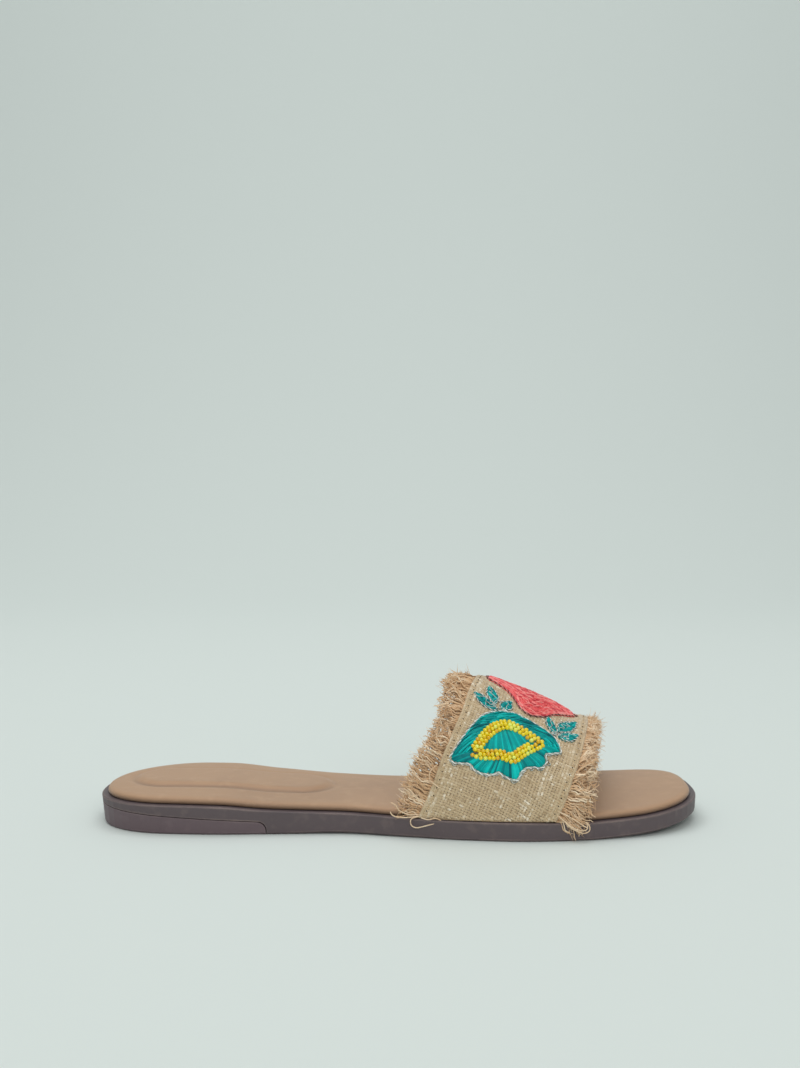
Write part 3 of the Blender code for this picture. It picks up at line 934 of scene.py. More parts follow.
# A hem's profile: in from the band's edge and off its face
HemStep = namedtuple("HemStep", "inset height")
HEM_PROFILE = [
    HemStep(0.55, -1.35),
    HemStep(0.00, -1.25),
    HemStep(-0.30, -0.90),
    HemStep(-0.28, -0.45),
    HemStep(0.05, -0.15),
    HemStep(0.70, -0.06),
    HemStep(1.50, -0.10),
    HemStep(1.95, -0.22),
    HemStep(2.40, -0.10),
    HemStep(3.20, -0.08),
    HemStep(4.00, -0.25),
    HemStep(4.45, -0.60),
]
HEM_RELIEF = 0.12
HEM_ALONG = 300
HEM_WALL = 0.25


def edge_share(edge, inset):
    """Share of the way across at an inset from one of the band's edges."""
    return inset / BAND_WIDTH if edge == "rear" else 1 - inset / BAND_WIDTH


def add_hem(edge, material):
    """The folded strip along one edge of the band, with the cloth's own relief."""
    low, high = band_runs(edge_share(edge, 0.0))
    runs = np.linspace(low + 0.3, high - 0.3, HEM_ALONG)
    corners = np.arange(len(HEM_PROFILE))
    between = np.linspace(0, corners[-1], 2 * corners[-1] + 1)
    insets, heights = (np.interp(between, corners, values) for values in zip(*HEM_PROFILE))
    run, inset = np.meshgrid(runs, insets, indexing="ij")
    ribs = np.cos(math.pi * run / WEFT_PITCH) * np.cos(math.pi * inset / WARP_PITCH)
    places = to_world(warp_chart.place(edge_share(edge, inset), run, heights + HEM_RELIEF * ribs))
    shape = bmesh.new()
    grid = bmesh.ops.create_grid(shape, x_segments=len(insets) - 1, y_segments=HEM_ALONG - 1, size=1.0)
    for vert, i, j in grid_cells(grid, HEM_ALONG, len(insets)):
        vert.co = places[i, j]
    thicken(shape, HEM_WALL)
    return add_piece(f"hem_{edge}", mesh_from(shape, f"hem_{edge}"), [material])


def add_stitches(edge, rng):
    """Machine stitches sunk in the hem, and between them short dark threads that stand for the needle
    holes: painted shade in the holes.
    """
    low, high = band_runs(edge_share(edge, 0.0))
    share = edge_share(edge, HOLE_INSET)
    holes = np.arange(low + 2.0, high - 1.0, HOLE_PITCH)
    threads = []
    for start, end in zip(holes, holes[1:]):
        run = np.linspace(start + STITCH_END, end - STITCH_END, len(STITCH_ARCH))
        points = warp_chart.place(share, run, STITCH_ARCH)
        threads.append(thread(points, STITCH_RADIUS, 0.5 + 0.1 * rng.normal()))
    # Painted shade: each needle hole is a short dark thread rising through the face, standing for the
    # shade inside the hole.
    hole_shades = []
    for run in holes:
        points = warp_chart.place(share, run, HOLE_DEPTHS)
        hole_shades.append(thread(points, HOLE_RADIUS, 0.2, tips=0.9))
    return [
        add_threads(f"stitches_{edge}", threads, thread_material("sewing_thread")),
        add_threads(f"needle_holes_{edge}", hole_shades, thread_material("needle_hole_shade")),
    ]


# ---------------------------------------------------------------- fringes

# How a fringe lies along its edge. share is how far down from the crest to the base it is, lean
# turns the threads from straight out towards the base, curl turns them on along their length, lift
# raises them off the band, all in degrees, and waver is how freely its locks wander
FringeLay = namedtuple("FringeLay", "share lean curl lift waver")
FRINGE_LAYS = {
    "rear": [
        FringeLay(0.00, 0, 5, -8, 0.8),
        FringeLay(0.20, -10, 10, 2, 1.1),
        FringeLay(0.42, 5, 25, 9, 1.1),
        FringeLay(0.60, -8, -5, 9, 0.9),
        FringeLay(0.78, 2, -20, 5, 0.5),
        FringeLay(0.94, 4, -18, 2, 0.4),
        FringeLay(1.00, 14, 0, 0, 0.5),
    ],
    "front": [
        FringeLay(0.00, 5, 20, -16, 0.8),
        FringeLay(0.25, -20, 55, 2, 1.0),
        FringeLay(0.42, -28, 40, 8, 1.1),
        FringeLay(0.62, -30, 25, 8, 1.2),
        FringeLay(0.80, -4, 12, 5, 0.7),
        FringeLay(0.93, 6, 14, 3, 0.5),
        FringeLay(1.00, 24, 16, 2, 0.5),
    ],
}
# Layers of a fringe, lowest first: height of the roots off the band's face, distance between
# threads, their radius, their length as a share of the trim's, how freely they wander, how much
# higher they stand in degrees, and their tone, darker in the lower layers as painted shade under those
# above
FringeLayer = namedtuple("FringeLayer", "root pitch radius length waver stand tone")
FRINGE_LAYERS = [
    FringeLayer(-1.85, 0.62, 0.24, 0.95, 1.1, -3, 0.30),
    FringeLayer(-1.60, 0.62, 0.24, 1.04, 1.2, 0, 0.38),
    FringeLayer(-1.35, 0.66, 0.26, 1.06, 1.1, 3, 0.48),
    FringeLayer(-1.05, 0.80, 0.29, 1.02, 1.0, 6, 0.55),
    FringeLayer(-0.75, 1.05, 0.32, 0.90, 0.9, 8, 0.62),
]
FRINGE_POINTS = 13
FRINGE_ROOT_INSET = 0.9
LOCK_ALONG = 11.0
LOCK_OUT = 8.0
LOCK_TURN = 32.0
LOCK_TOSS = 13.0
TIP_CURL = 95.0
TIP_START = 0.45
OWN_LEAN = 3.5
OWN_TIP_CURL = 25.0
WAVES = 7
CRIMP_LENGTH = 3.1
CRIMP_HEIGHT = 0.2
FLUFF_COUNT = 3000
FLUFF_RADIUS = 0.07
FLUFF_TURN = 0.7
FLUFF_BEND = 1.1
FLUFF_REACH = (0.7, 1.7)
# Loose threads by the band's outer base: offsets from its corner on that edge, forward, towards the
# foot and up
STRAYS = {
    "rear": [
        [(0.5, 0.4, 0.6), (-2.8, -1.0, 0.0), (-2.9, -1.4, -2.4), (-0.9, -1.5, -3.5), (1.7, -1.4, -3.1),
         (5.2, -1.4, -2.2), (8.6, -1.4, -1.4), (10.0, -1.6, -2.8)],
        [(0.0, 0.6, 1.4), (-3.6, 0.0, 1.4), (-7.6, -0.4, 3.2), (-9.2, -0.4, 5.4), (-11.2, -0.4, 6.6)],
        [(0.0, 0.4, 0.8), (-4.0, -0.8, 0.5), (-8.4, -1.0, 0.7), (-10.6, -1.0, 1.6), (-11.4, -1.0, 3.0)],
        [(1.0, -1.0, 0.4), (4.0, -1.5, -0.2), (7.0, -1.6, 0.3), (9.4, -1.6, -0.8), (11.0, -1.8, -2.2)],
    ],
    "front": [
        [(0.0, 0.2, 3.2), (2.4, -0.9, 1.4), (4.4, -1.4, -0.6), (7.0, -1.5, -2.6), (10.6, -1.5, -4.0),
         (13.0, -1.4, -3.2), (13.2, -1.2, -1.2), (11.6, -1.0, 0.4)],
        [(0.4, 0.2, 2.2), (3.4, -1.0, 0.6), (6.2, -1.5, -1.6), (9.8, -1.6, -3.0), (12.2, -1.4, -2.4),
         (12.4, -1.0, -0.6)],
        [(0.2, 0.2, 4.6), (3.6, -0.7, 3.2), (7.4, -1.2, 1.2), (10.4, -1.4, -0.8), (12.6, -1.4, -2.0)],
    ],
}
# One more that has come round on to the cloth: share of the way across, run and height
LOOSE_ON_CLOTH = [
    (-0.01, 54, 0.3), (-0.045, 57, 1.0), (-0.03, 60.5, 1.2), (0.015, 62.5, 0.9), (0.06, 64, 0.5),
]
STRAY_RADIUS = 0.25
STRAY_STEP = 0.7


def wander(rng, size, first, second):
    """A smooth random field over two lengths, made of waves about as long as those given."""
    turns = rng.choice([-1, 1], (WAVES, 2)) * rng.uniform(0.5, 1.6, (WAVES, 2))
    rates = turns * 2 * math.pi / (first, second)
    phases = rng.uniform(0, 2 * math.pi, WAVES)

    def at(x, y):
        x, y = np.asarray(x, float)[..., None], np.asarray(y, float)[..., None]
        waves = np.sin(x * rates[:, 0] + y * rates[:, 1] + phases)
        return size * waves.sum(axis=-1) / math.sqrt(WAVES / 2)

    return at


def settle(points, radius):
    """Threads that come down on the insole or the sole's rim lie on it."""
    x, y = points[..., 0], points[..., 1]
    on_foot = (y > side_y(x, "lateral") + LEDGE) & (y < side_y(x, "medial") - LEDGE)
    on_rim = (y > side_y(x, "lateral")) & (y < side_y(x, "medial"))
    ground = np.where(on_foot, insole_top(x, y), np.where(on_rim, rim_height(x) + 0.2, 0.0)) + radius
    settled = points.copy()
    settled[..., 2] = np.maximum(points[..., 2], ground)
    return settled


def fringe_aims(edge, runs, share, turns):
    """At each root: straight out from the edge, along it, off the band, and which way is down."""
    forward, _, outward = band_axes(turns, share)
    along = unit(warp_chart.place(share, runs + 0.5) - warp_chart.place(share, runs - 0.5))
    away = -forward if edge == "rear" else forward
    away = unit(away - along * (away * along).sum(axis=1, keepdims=True))
    return away, along, outward, np.where(runs >= 0, 1.0, -1.0)


def lay_threads(edge, layer, runs, rng):
    """Paths of one layer of a fringe's threads, each led on by the lie of its lock."""
    share = edge_share(edge, FRINGE_ROOT_INSET)
    turns = warp_chart.turn(np.full(len(runs), share), runs)
    away, along, outward, side = fringe_aims(edge, runs, share, turns)
    down = runs / np.where(runs >= 0, base_run(share, "lateral"), base_run(share, "medial"))
    columns = ("lean", "curl", "lift", "waver")
    lean, curl, lift, waver = (column(FRINGE_LAYS[edge], "share", name)(down) for name in columns)
    trim = rear_trim if edge == "rear" else front_trim
    lengths = (trim(turns) + FRINGE_ROOT_INSET) * layer.length
    lengths = lengths * rng.normal(1, 0.07, len(runs)).clip(0.8, 1.2)
    lock_turn = wander(rng, LOCK_TURN * layer.waver, LOCK_ALONG, LOCK_OUT)
    lock_toss = wander(rng, LOCK_TOSS * layer.waver, LOCK_ALONG * 0.7, LOCK_OUT)
    lean = lean + rng.normal(0, OWN_LEAN, len(runs))
    tip_curl = wander(rng, TIP_CURL, LOCK_ALONG * 0.5, 1.0)(runs, 0.0)
    tip_curl = tip_curl + rng.normal(0, OWN_TIP_CURL, len(runs))
    crimp = rng.uniform(0, 2 * math.pi, (2, len(runs)))
    step = lengths / (FRINGE_POINTS - 1)
    place = warp_chart.place(share, runs, layer.root)
    at, reach = runs.copy(), np.zeros(len(runs))
    path = [place]
    for t in np.linspace(0, 1, FRINGE_POINTS)[:-1]:
        freed = waver * min(1.0, 0.25 + 2 * t)
        tip = waver * max(0, t - TIP_START) ** 1.3
        angle = np.radians(lean + curl * t**1.4 + lock_turn(at, reach) * freed + tip_curl * tip)
        rise = np.radians((lift + layer.stand) * (1 - t) + lock_toss(at, reach) * freed)
        out, drop = np.cos(rise) * np.cos(angle), np.cos(rise) * np.sin(angle) * side
        heading = out[:, None] * away + drop[:, None] * along + np.sin(rise)[:, None] * outward
        place = place + heading * step[:, None]
        at, reach = at + drop * step, reach + out * step
        ripple = CRIMP_HEIGHT * np.sin(2 * math.pi * t * lengths / CRIMP_LENGTH + crimp)
        path.append(place + along * ripple[0][:, None] + outward * ripple[1][:, None])
    return settle(np.stack(path, axis=1), layer.radius)


def fluff_threads(threads, rng):
    """Short fine fibres that stand off a fringe's threads."""
    fluff = []
    t = np.linspace(0, 1, 5)[:, None]
    for _ in range(FLUFF_COUNT):
        parent = threads[rng.integers(len(threads))]
        k = int((FRINGE_POINTS - 1) * rng.uniform(0.25, 1.0) ** 0.6 - 0.5)
        start, heading = parent.points[k], unit(parent.points[k + 1] - parent.points[k])
        heading = unit(heading + rng.normal(0, FLUFF_TURN, 3))
        bend = rng.normal(0, FLUFF_BEND, 3)
        points = start + (heading * t + bend * t * t) * rng.uniform(*FLUFF_REACH)
        tone = 0.75 + 0.2 * rng.normal()
        fluff.append(thread(settle(points, FLUFF_RADIUS), FLUFF_RADIUS, tone, tips=0.5))
    return fluff


def stray_threads(edge):
    """The loose threads by the band's outer base."""
    share = edge_share(edge, 0.0)
    corner = warp_chart.place(share, base_run(share, "lateral"))
    strays = [corner + np.array(offsets) for offsets in STRAYS[edge]]
    if edge == "rear":
        strays.append(warp_chart.place(*np.array(LOOSE_ON_CLOTH).T))
    return [thread(smooth_path(stray, STRAY_STEP), STRAY_RADIUS, 0.78, tips=0.6) for stray in strays]


def add_fringe(edge, rng):
    """The frayed trim along one edge: layers of loose threads in locks, and fine fluff."""
    low, high = band_runs(edge_share(edge, FRINGE_ROOT_INSET))
    threads = []
    # root_shade is painted shade, darkest at the threads' roots where they come out from under the hem.
    root_shade = 0.1 - 0.65 * np.exp(-6 * np.linspace(0, 1, FRINGE_POINTS))
    for layer in FRINGE_LAYERS:
        runs = np.arange(low + 0.2, high - 0.1, layer.pitch)
        runs = (runs + rng.uniform(-0.25, 0.25, len(runs)) * layer.pitch).clip(low + 0.1, high - 0.1)
        patch = wander(rng, 0.16, 7.0, 7.0)
        for run, points in zip(runs, lay_threads(edge, layer, runs, rng)):
            radius = layer.radius * rng.uniform(0.8, 1.2) * np.linspace(1.05, 0.75, FRINGE_POINTS)
            tone = layer.tone + float(patch(run, 0.0)) + 0.07 * rng.normal() + root_shade
            threads.append(thread(points, radius, tone, tips=0.6))
    fluff = fluff_threads(threads, rng)
    threads += stray_threads(edge)
    cotton = thread_material("fringe_cotton")
    piece = add_threads(f"fringe_threads_{edge}", threads, cotton, resolution=0)
    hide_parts(f"fringe_{edge}")
    return [piece, add_threads(f"fringe_fluff_{edge}", fluff, cotton, resolution=0)]


# ---------------------------------------------------------------- embroidery

# Outlines of the motif: station in millimetres from the heel, and run down from the crest
FAN_TOP = [
    (148, 49), (152, 43), (156, 37.5), (161, 31.5), (164, 29), (170, 26), (175.5, 25), (180, 26),
    (187.5, 28.5), (191.5, 31), (193, 36),
]
FAN_BOTTOM = [
    (148, 49), (149.5, 50.5), (153.5, 51), (156, 51.5), (157.5, 53.5), (160.5, 55), (164.5, 55),
    (167, 53.5), (170, 54.5), (173, 55), (175, 54), (176, 51.5), (178, 49), (181, 47.5), (184.5, 46.5),
    (186.5, 43.5), (186.5, 40), (189, 38.5), (193, 36),
]
RING_TOP = [
    (157.5, 47), (161, 41.7), (164.5, 37.2), (168.5, 33.7), (172.5, 32.3), (177.5, 33.2), (181, 35),
    (184.5, 36.5),
]
RING_BOTTOM = [
    (157.5, 47), (160.5, 48), (164, 47.5), (169, 46.5), (173, 46.7), (176.5, 43.5), (180.5, 40),
    (184.5, 36.5),
]
PETAL_OUTER = [
    (165, -3), (166, 2), (168, 3.5), (170.5, 6), (173, 8.5), (174.5, 11.5), (176, 15.5), (177.5, 19.5),
    (179.5, 21.5), (182, 22.3), (185.5, 21), (188.5, 19), (191.5, 15), (194.5, 11.5), (199.5, 5.5),
    (204.5, 0),
]
PETAL_INNER = [
    (165, -3), (168, -9), (173, -12), (179, -12.5), (184, -13.5), (187, -18), (191, -23.5), (196, -24),
    (199.5, -20), (201.3, -12), (201.5, -4), (204.5, 0),
]
NET_LEAF = [
    (171.5, -13.5), (173.5, -18.5), (176, -23), (180.5, -24), (185, -22.5), (187.5, -20), (184.5, -15),
    (178, -13),
]
# Leaves: tip, belly and foot of each one's middle line, and its full width
Leaf = namedtuple("Leaf", "tip belly foot width")
LEAVES = [
    Leaf((158.5, 17.5), (163, 22.5), (168, 26), 4.8),
    Leaf((165.3, 10.5), (166.3, 16), (167, 22.5), 4.8),
    Leaf((174.5, 17.5), (172.5, 20.5), (170, 24.5), 4.4),
    Leaf((189.5, 18), (190.3, 23), (191.5, 28), 4.0),
    Leaf((202.5, 10.5), (198, 17.5), (193, 25), 5.0),
    Leaf((202, 22), (198, 25), (193, 28), 4.8),
]
# Where the leaves' cords are gathered in small tangled loops
TANGLES = [
    (166.5, 23.5), (168, 25.5), (169.5, 24.5), (165, 23), (191, 28), (192.5, 27), (194.5, 25), (196, 27),
]
# Satin: distance between stitches, their size, and the arches of the stitches in one bundle
SATIN_PITCH = 0.40
SATIN_RADIUS = 0.30
SATIN_RISE = 0.75
SATIN_FLOOR = 0.12
SATIN_SINK = 0.35
BUNDLE_ARCHES = (0.78, 1.0, 0.85)
OUTLINE_STEP = 0.3
FAN_SLANT = 0.26
FAN_FILL_COUNT = 60
NET_PITCH = 1.9
BEAD_PITCH = 1.72
BEAD_RADIUS = 1.03
BEAD_ROW_GAP = 1.42
BEAD_NEAREST = 1.32
BEAD_LENGTH = 0.88
# Twisted cords: height off the cloth, radius of a ply, length of a turn and the two plies' tones
Cord = namedtuple("Cord", "height radius pitch tones")
FAN_CORD = Cord(0.4, 0.23, 3.0, (0.3, 1.0))
LOOSE_FAN_CORD = Cord(0.3, 0.15, 2.6, (0.1, 0.7))
LEAF_CORD = Cord(0.5, 0.16, 2.2, (0.1, 0.95))
PETAL_CORD = Cord(0.5, 0.2, 2.6, (0.05, 0.8))
NET_CORD = Cord(0.35, 0.17, 1.8, (0.3, 0.8))
FAN_CORD_OUT = 0.45
LOOSE_CORD_OUT = 0.85
LOOSE_CORD_SWAY = 0.4
# Short stitches: how many rows, between which shares of their paths, how long each is as a share,
# how far it arches and its radius
Stitching = namedtuple("Stitching", "rows bounds lengths rise radius")
FAN_STITCHING = Stitching(24, (0.012, 0.988), (0.10, 0.17), 0.6, 0.25)
PETAL_STITCHING = Stitching(84, (0.06, 0.955), (0.05, 0.1), 0.55, 0.27)


def smooth_path(points, step, closed=False):
    """Even steps along a smooth line through a few points."""
    points = np.array(points, float)
    ends = (points[-1:], points[:2]) if closed else (points[:1], points[-1:])
    padded = np.vstack([ends[0], points, ends[1]])
    spans = []
    t = np.linspace(0, 1, 24, endpoint=False)[:, None]
    for a, b, c, d in zip(padded, padded[1:], padded[2:], padded[3:]):
        pull, push = (c - a) / 2, (d - b) / 2
        curve = (2 * t**3 - 3 * t**2 + 1) * b + (t**3 - 2 * t**2 + t) * pull
        spans.append(curve + (3 * t**2 - 2 * t**3) * c + (t**3 - t**2) * push)
    dense = np.vstack([*spans, padded[-2:-1]])
    run = run_along(dense)
    at = np.linspace(0, run[-1], max(int(round(run[-1] / step)), 2) + 1)
    return np.column_stack([np.interp(at, run, axis) for axis in dense.T])


def along_path(path, shares):
    """Places at shares of the way along a path."""
    run = run_along(path)
    at = np.asarray(shares) * run[-1]
    return np.column_stack([np.interp(at, run, axis) for axis in path.T])


def sideways(path):
    """Unit directions to the left of a path at each of its points."""
    ahead = unit(np.gradient(path, axis=0))
    return np.column_stack([-ahead[:, 1], ahead[:, 0]])


def there_and_back(top, bottom):
    """A closed outline from its upper and its lower line, both drawn the same way."""
    return np.vstack([smooth_path(top, OUTLINE_STEP), smooth_path(bottom, OUTLINE_STEP)[::-1][1:]])


def on_cloth(path, height):
    """Places of the charts lifted off the band's face."""
    return station_chart.place(path[:, 0], path[:, 1], height)


def satin(start, end, tone, rise=SATIN_RISE, radius=SATIN_RADIUS, steps=7):
    """One raised satin stitch between two places of the cloth."""
    t = np.linspace(0, 1, steps)
    path = start + (end - start) * t[:, None]
    height = SATIN_FLOOR + rise * np.sin(math.pi * t) ** 0.6
    height[[0, -1]] -= SATIN_SINK
    return thread(on_cloth(path, height), radius, tone, tips=0.7)


def twisted_cord(path, cord):
    """Two plies, each of its own tone, laid round each other along a path."""
    run = run_along(path)
    side = sideways(path)
    plies = []
    for phase, tone in zip((0, math.pi), cord.tones):
        turn = 2 * math.pi * run / cord.pitch + phase
        moved = path + side * (cord.radius * np.sin(turn))[:, None]
        points = on_cloth(moved, cord.height + cord.radius * np.cos(turn))
        plies.append(thread(points, cord.radius * 0.95, tone, tips=0.7))
    return plies


def swept_stitches(outer, inner, kind, slant, tone_at, rng):
    """Rows of short uneven stitches between two paths, each leaning a little off its row."""
    made = []
    low, high = kind.bounds
    arch = kind.rise * np.sin(np.linspace(0, math.pi, 5)) ** 0.7
    for row in range(kind.rows):
        share = (row + 0.5) / kind.rows
        at = low + rng.uniform(-0.05, 0.0)
        while at < high:
            reach = rng.uniform(*kind.lengths)
            t = np.linspace(max(at, low), min(at + reach, high), 5)
            if t[-1] - t[0] > 0.02:
                path, across = along_path(outer, t), along_path(inner, t) - along_path(outer, t)
                lean = slant(t.mean()) + rng.normal(0, 0.028)
                shares = np.clip(share + lean * np.linspace(-1, 1, 5), 0.012, 0.988)
                height = 0.15 + arch + rng.uniform(-0.1, 0.2)
                points = on_cloth(path + across * shares[:, None], height)
                tone = tone_at(path[2] + across[2] * share)
                made.append(thread(points, kind.radius, tone, tips=0.6))
            at += reach * rng.uniform(0.7, 0.95)
    return made


def underlay(outer, inner, bounds, rows, radius, tone, rng):
    """Rows of padding threads that close the ground between two paths."""
    t = np.linspace(*bounds, 26)
    start, across = along_path(outer, t), along_path(inner, t) - along_path(outer, t)
    made = []
    for share in np.linspace(0.01, 0.99, rows):
        points = on_cloth(start + across * share, 0.12)
        made.append(thread(points, radius, tone + 0.1 * rng.normal(), tips=0.6))
    return made


def satin_band(inner, outer, spread, rise, rng):
    """Satin stitches side by side between two paths, in small bundles that spread from the inner one."""
    count = int(step_lengths(outer).sum() / SATIN_PITCH)
    shares = (np.arange(count) + 0.5) / count
    bundles = count // len(BUNDLE_ARCHES) + 1
    tones = np.repeat(0.58 + 0.25 * rng.normal(0, 1, bundles), len(BUNDLE_ARCHES))
    arches = rise * np.tile(BUNDLE_ARCHES, bundles)
    swung = shares + spread * np.sin(2 * math.pi * shares) + rng.normal(0, 0.003, count)
    starts = along_path(inner, np.clip(swung, 0, 1))
    made = []
    for start, end, tone, arch in zip(starts, along_path(outer, shares), tones, arches):
        tone = tone + 0.1 * rng.normal()
        made.append(satin(start, end, tone, rise=arch * rng.uniform(0.9, 1.1)))
    return made


def fan_threads(rng):
    """The scalloped fan in teal satin, with the fill that spreads inside its ring of beads."""
    outer_top, outer_bottom, ring_top, ring_bottom = (
        smooth_path(line, OUTLINE_STEP) for line in (FAN_TOP, FAN_BOTTOM, RING_TOP, RING_BOTTOM)
    )
    patch = wander(rng, 0.22, 4.0, 4.0)

    def tone_at(place):
        return 0.5 + float(patch(*place)) + 0.24 * rng.normal()

    def slant(share):
        return FAN_SLANT * math.sin(2 * math.pi * share)

    threads = satin_band(ring_top, outer_top, 0.10, 0.1, rng)
    threads += swept_stitches(outer_top, ring_top, FAN_STITCHING, slant, tone_at, rng)
    threads += satin_band(ring_bottom, outer_bottom, 0.02, SATIN_RISE, rng)
    starts = along_path(ring_top, np.linspace(0.36, 0.72, FAN_FILL_COUNT))
    ends = along_path(ring_bottom, np.linspace(0.06, 0.94, FAN_FILL_COUNT))
    for k, (start, end) in enumerate(zip(starts, ends)):
        tone = 0.58 + 0.22 * math.sin(k * 0.9) + 0.12 * rng.normal()
        threads.append(satin(start, end, tone, rise=0.6))
    return threads


def leaf_outline(leaf):
    """The two sides of a leaf from its foot to its tip."""
    spine = smooth_path([leaf.foot, leaf.belly, leaf.tip], 0.4)
    t = np.linspace(0, 1, len(spine))
    swell = leaf.width / 2 * np.sin(math.pi * t**0.85) ** 0.9
    side = sideways(spine) * swell[:, None]
    return spine, spine + side, spine - side


def leaf_threads(rng):
    """Small leaves in teal satin, each inside a loop of silver cord, with tangled cord at their feet."""
    threads, cords = [], []
    for leaf in LEAVES:
        spine, left, right = leaf_outline(leaf)
        for flank in (left, right):
            for i in range(1, len(spine) - 1):
                start = spine[max(i - 2, 0)]
                tone = 0.42 + 0.25 * rng.normal()
                threads.append(satin(start, flank[i], tone, rise=0.45, radius=0.26, steps=5))
            wavy = flank[::3] + rng.normal(0, 0.16, (len(flank[::3]), 2))
            cords += twisted_cord(smooth_path(wavy, OUTLINE_STEP), LEAF_CORD)
        loose = spine[::4] + rng.normal(0, 0.2 * leaf.width, (len(spine[::4]), 2))
        cords.append(thread(on_cloth(smooth_path(loose, OUTLINE_STEP), 0.75), 0.11, 0.7, tips=0.7))
    turns = np.linspace(0, 2.6 * math.pi, 26)
    for centre in TANGLES:
        start, size = rng.uniform(0, 2 * math.pi), rng.uniform(0.7, 1.1)
        swing = size * (1 + 0.25 * np.sin(3 * turns + start))
        curl = np.column_stack([np.cos(turns + start), 0.8 * np.sin(turns + start)]) * swing[:, None]
        points = on_cloth(np.array(centre) + curl, 0.75 + 0.25 * np.sin(2 * turns))
        cords.append(thread(points, 0.16, 0.6 + 0.3 * rng.normal()))
    return threads, cords


def petal_threads(rng):
    """The long petal that lies over the crest, filled with short uneven stitches inside a cord."""
    outer, inner = smooth_path(PETAL_OUTER, 0.4), smooth_path(PETAL_INNER, 0.4)
    patch = wander(rng, 0.32, 6.0, 6.0)

    def tone_at(place):
        return 0.6 + float(patch(*place)) + 0.2 * rng.normal()

    threads = underlay(outer, inner, (0.05, 0.96), PETAL_STITCHING.rows, 0.36, 0.42, rng)
    threads += swept_stitches(outer, inner, PETAL_STITCHING, lambda share: 0.0, tone_at, rng)
    edge = []
    for path in (outer, inner):
        edge += twisted_cord(path, PETAL_CORD)
    return threads, edge


def net_threads(rng):
    """The small netted leaf beside the petal."""
    ring = smooth_path(NET_LEAF, 0.4, closed=True)
    threads = twisted_cord(ring, NET_CORD)
    low, high = ring.min(axis=0), ring.max(axis=0)
    middle = (low + high) / 2
    for slope in (1.0, -1.0):
        for offset in np.arange(-30, 30, NET_PITCH):
            stations = np.arange(low[0], high[0], 0.4)
            line = np.column_stack([stations, middle[1] + slope * (stations - middle[0]) + offset])
            line = line[[inside(ring, *place) for place in line]]
            if len(line) > 3:
                threads.append(thread(on_cloth(line, 0.3), 0.17, 0.45 + 0.3 * rng.normal()))
    return threads


def inside(ring, x, y):
    """Whether a place lies inside a closed path."""
    ahead = np.roll(ring, -1, axis=0)
    crosses = (ring[:, 1] > y) != (ahead[:, 1] > y)
    rise = np.where(ahead[:, 1] == ring[:, 1], 1.0, ahead[:, 1] - ring[:, 1])
    at = ring[:, 0] + (y - ring[:, 1]) * (ahead[:, 0] - ring[:, 0]) / rise
    return bool((crosses & (at > x)).sum() % 2)


def add_beads(rng):
    """Rows of small glass beads sewn close together round the fan's ring."""
    ring = there_and_back(RING_TOP, RING_BOTTOM)
    shape = bmesh.new()
    tone_layer = shape.verts.layers.float.new("tone")
    placed = []
    for row, offset in enumerate((-BEAD_ROW_GAP, 0.0, BEAD_ROW_GAP)):
        moved = ring + sideways(ring) * offset
        count = int(step_lengths(moved).sum() / BEAD_PITCH)
        for k in range(count):
            at = (k + 0.5 * (row % 2) + rng.uniform(-0.1, 0.1)) / count
            here, beyond = along_path(moved, [at % 1.0, (at + 0.01) % 1.0])
            if any(np.hypot(*(here - other)) < BEAD_NEAREST for other in placed):
                continue
            placed.append(here)
            lift = 1.0 + 0.25 * (row == 1) + rng.uniform(-0.15, 0.2)
            centre, ahead = on_cloth(np.array([here, beyond]), lift)
            axis = unit(ahead - centre + rng.normal(0, 0.04, 3))
            size = BEAD_RADIUS * rng.uniform(0.93, 1.07)
            add_bead(shape, tone_layer, centre, axis, size, 0.5 + 0.28 * rng.normal())
    return add_piece("ring_beads", mesh_from(shape, "ring_beads", 80), [bead_material()])


def add_bead(shape, tone_layer, centre, axis, size, tone):
    """One bead: a short rounded drum, threaded along an axis."""
    turn = Vector((0, 0, 1)).rotation_difference(Vector(axis)).to_matrix().to_4x4()
    stretch = Matrix.Diagonal((size, size, size * BEAD_LENGTH, 1.0))
    place = Matrix.Translation(Vector(to_world(centre))) @ turn @ stretch
    made = bmesh.ops.create_uvsphere(shape, u_segments=8, v_segments=6, radius=MM, matrix=place)
    for vert in made["verts"]:
        vert[tone_layer] = tone


def fan_cords(rng):
    """The silver cord round the fan, and a looser one that sways along its lower half."""
    path = there_and_back(FAN_TOP, FAN_BOTTOM)
    outwards = -sideways(path)
    cords = twisted_cord(path + outwards * FAN_CORD_OUT, FAN_CORD)
    sway = wander(rng, LOOSE_CORD_SWAY, 4.0, 1.0)(np.arange(len(path)) * OUTLINE_STEP, 0.0)
    loose = path + outwards * (LOOSE_CORD_OUT + sway)[:, None]
    half = len(smooth_path(FAN_TOP, OUTLINE_STEP))
    return cords + twisted_cord(smooth_path(loose[half::4], OUTLINE_STEP), LOOSE_FAN_CORD)


def add_embroidery(rng):
    """The flower on the band: fan, leaves, petal, netted leaf and beads."""
    teal = thread_material("teal_silk")
    leaves, cords = leaf_threads(rng)
    petal, petal_edge = petal_threads(rng)
    cords += fan_cords(rng)
    return [
        add_threads("fan_satin", fan_threads(rng), teal),
        add_threads("leaf_satin", leaves, teal),
        add_threads("silver_outline", cords, thread_material("silver_cord")),
        add_threads("petal_stitches", petal, thread_material("coral_cotton")),
        add_threads("petal_outline", petal_edge, thread_material("brown_outline")),
        add_threads("net_leaf", net_threads(rng), thread_material("mauve_net")),
        add_beads(rng),
    ]


# ---------------------------------------------------------------- studio

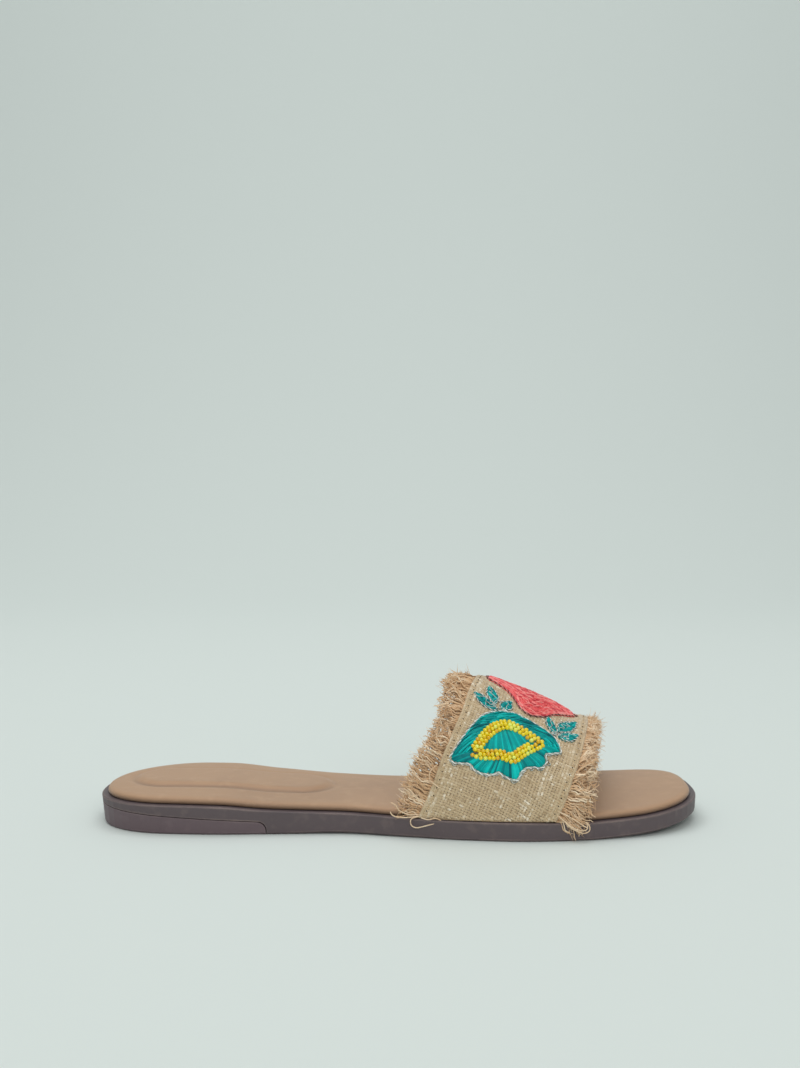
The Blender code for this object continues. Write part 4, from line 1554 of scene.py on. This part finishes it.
CAMERA_BACK = 554.66
CAMERA_HEIGHT = 153.55
CAMERA_PITCH = 3.29
CAMERA_LENS = 43.82
FLOOR_HALF = 3.0
FLOOR_SWEEP = 1.6
FLOOR_FORWARD = 0.6
FLOOR_COLOUR = (222, 230, 227)
WORLD_COLOUR = (230, 235, 233)
WORLD_STRENGTH = 0.44
# Soft lamps, in metres and watts: where each hangs, what it faces, its two sides, power and tint
Lamp = namedtuple("Lamp", "name place aim size power tint")
LAMPS = [
    Lamp("top", (-0.15, 0.1, 1.5), (0.0, 0.0, 0.0), (1.6, 1.4), 10.6, (1.0, 1.0, 1.0)),
    Lamp("front", (0.2, -1.5, 1.0), (0.0, 0.0, 0.03), (1.4, 1.0), 9.6, (1.0, 0.985, 0.965)),
    Lamp("backdrop", (0.0, 0.6, 3.0), (0.0, 2.4, 2.5), (2.5, 0.8), 29.0, (1.0, 1.0, 1.0)),
]


def add_camera():
    """Looks straight across the sandal's outer side from a little above it."""
    data = bpy.data.cameras.new("camera")
    data.lens = CAMERA_LENS
    data.sensor_width = 36.0
    data.clip_start = 0.01
    data.clip_end = 20.0
    camera = bpy.data.objects.new("camera", data)
    camera.location = (0.0, -CAMERA_BACK * MM, CAMERA_HEIGHT * MM)
    camera.rotation_euler = (math.radians(90 - CAMERA_PITCH), 0.0, 0.0)
    bpy.context.scene.collection.objects.link(camera)
    bpy.context.scene.camera = camera


def add_floor():
    """A pale seamless floor that sweeps up behind."""
    shape = bmesh.new()
    bmesh.ops.create_grid(shape, x_segments=1, y_segments=1, size=FLOOR_HALF)
    back = [edge for edge in shape.edges if all(vert.co.y > 2 for vert in edge.verts)]
    grown = bmesh.ops.extrude_edge_only(shape, edges=back)["geom"]
    raised = [part for part in grown if isinstance(part, bmesh.types.BMVert)]
    bmesh.ops.translate(shape, verts=raised, vec=(0, 0, FLOOR_HALF))
    crease = [edge for edge in shape.edges if all(v.co.y > 2 and v.co.z < 0.1 for v in edge.verts)]
    rounding = {"segments": 24, "profile": 0.5, "affect": "EDGES", "material": -1}
    bmesh.ops.bevel(shape, geom=crease, offset=FLOOR_SWEEP, **rounding)
    bmesh.ops.translate(shape, verts=shape.verts, vec=(0, -FLOOR_FORWARD, 0))
    bmesh.ops.recalc_face_normals(shape, faces=shape.faces)
    mesh = mesh_from(shape, "floor")
    paper = new_material("floor_paper", Roughness=0.9, Base_Color=colour(*FLOOR_COLOUR))[0]
    mesh.materials.append(paper)
    floor = bpy.data.objects.new("floor", mesh)
    bpy.context.scene.collection.objects.link(floor)


def add_lamp(lamp):
    data = bpy.data.lights.new(lamp.name, "AREA")
    data.shape = "RECTANGLE"
    data.size, data.size_y = lamp.size
    data.energy = lamp.power
    data.color = lamp.tint
    light = bpy.data.objects.new(lamp.name, data)
    light.location = lamp.place
    light.rotation_euler = (Vector(lamp.aim) - Vector(lamp.place)).to_track_quat("-Z", "Y").to_euler()
    bpy.context.scene.collection.objects.link(light)


def add_studio():
    """Soft light from above and from the front, and a plain pale backdrop."""
    add_camera()
    add_floor()
    for lamp in LAMPS:
        add_lamp(lamp)
    world = bpy.data.worlds.new("studio")
    world.use_nodes = True
    background = world.node_tree.nodes["Background"]
    background.inputs["Color"].default_value = colour(*WORLD_COLOUR)
    background.inputs["Strength"].default_value = WORLD_STRENGTH
    bpy.context.scene.world = world
    bpy.context.scene.view_settings.view_transform = "Standard"


def build():
    """The whole sandal and its stage, with one source of random numbers in a fixed order."""
    rng = np.random.default_rng(RANDOM_SEED)
    dress_sole()
    add_insole()
    sheet = add_band_sheet()
    hem_cloth = hem_material()
    on_band = add_weave(rng)
    for edge in ("rear", "front"):
        on_band.append(add_hem(edge, hem_cloth))
        on_band += add_stitches(edge, rng)
        on_band += add_fringe(edge, rng)
    on_band += add_embroidery(rng)
    add_studio()


build()
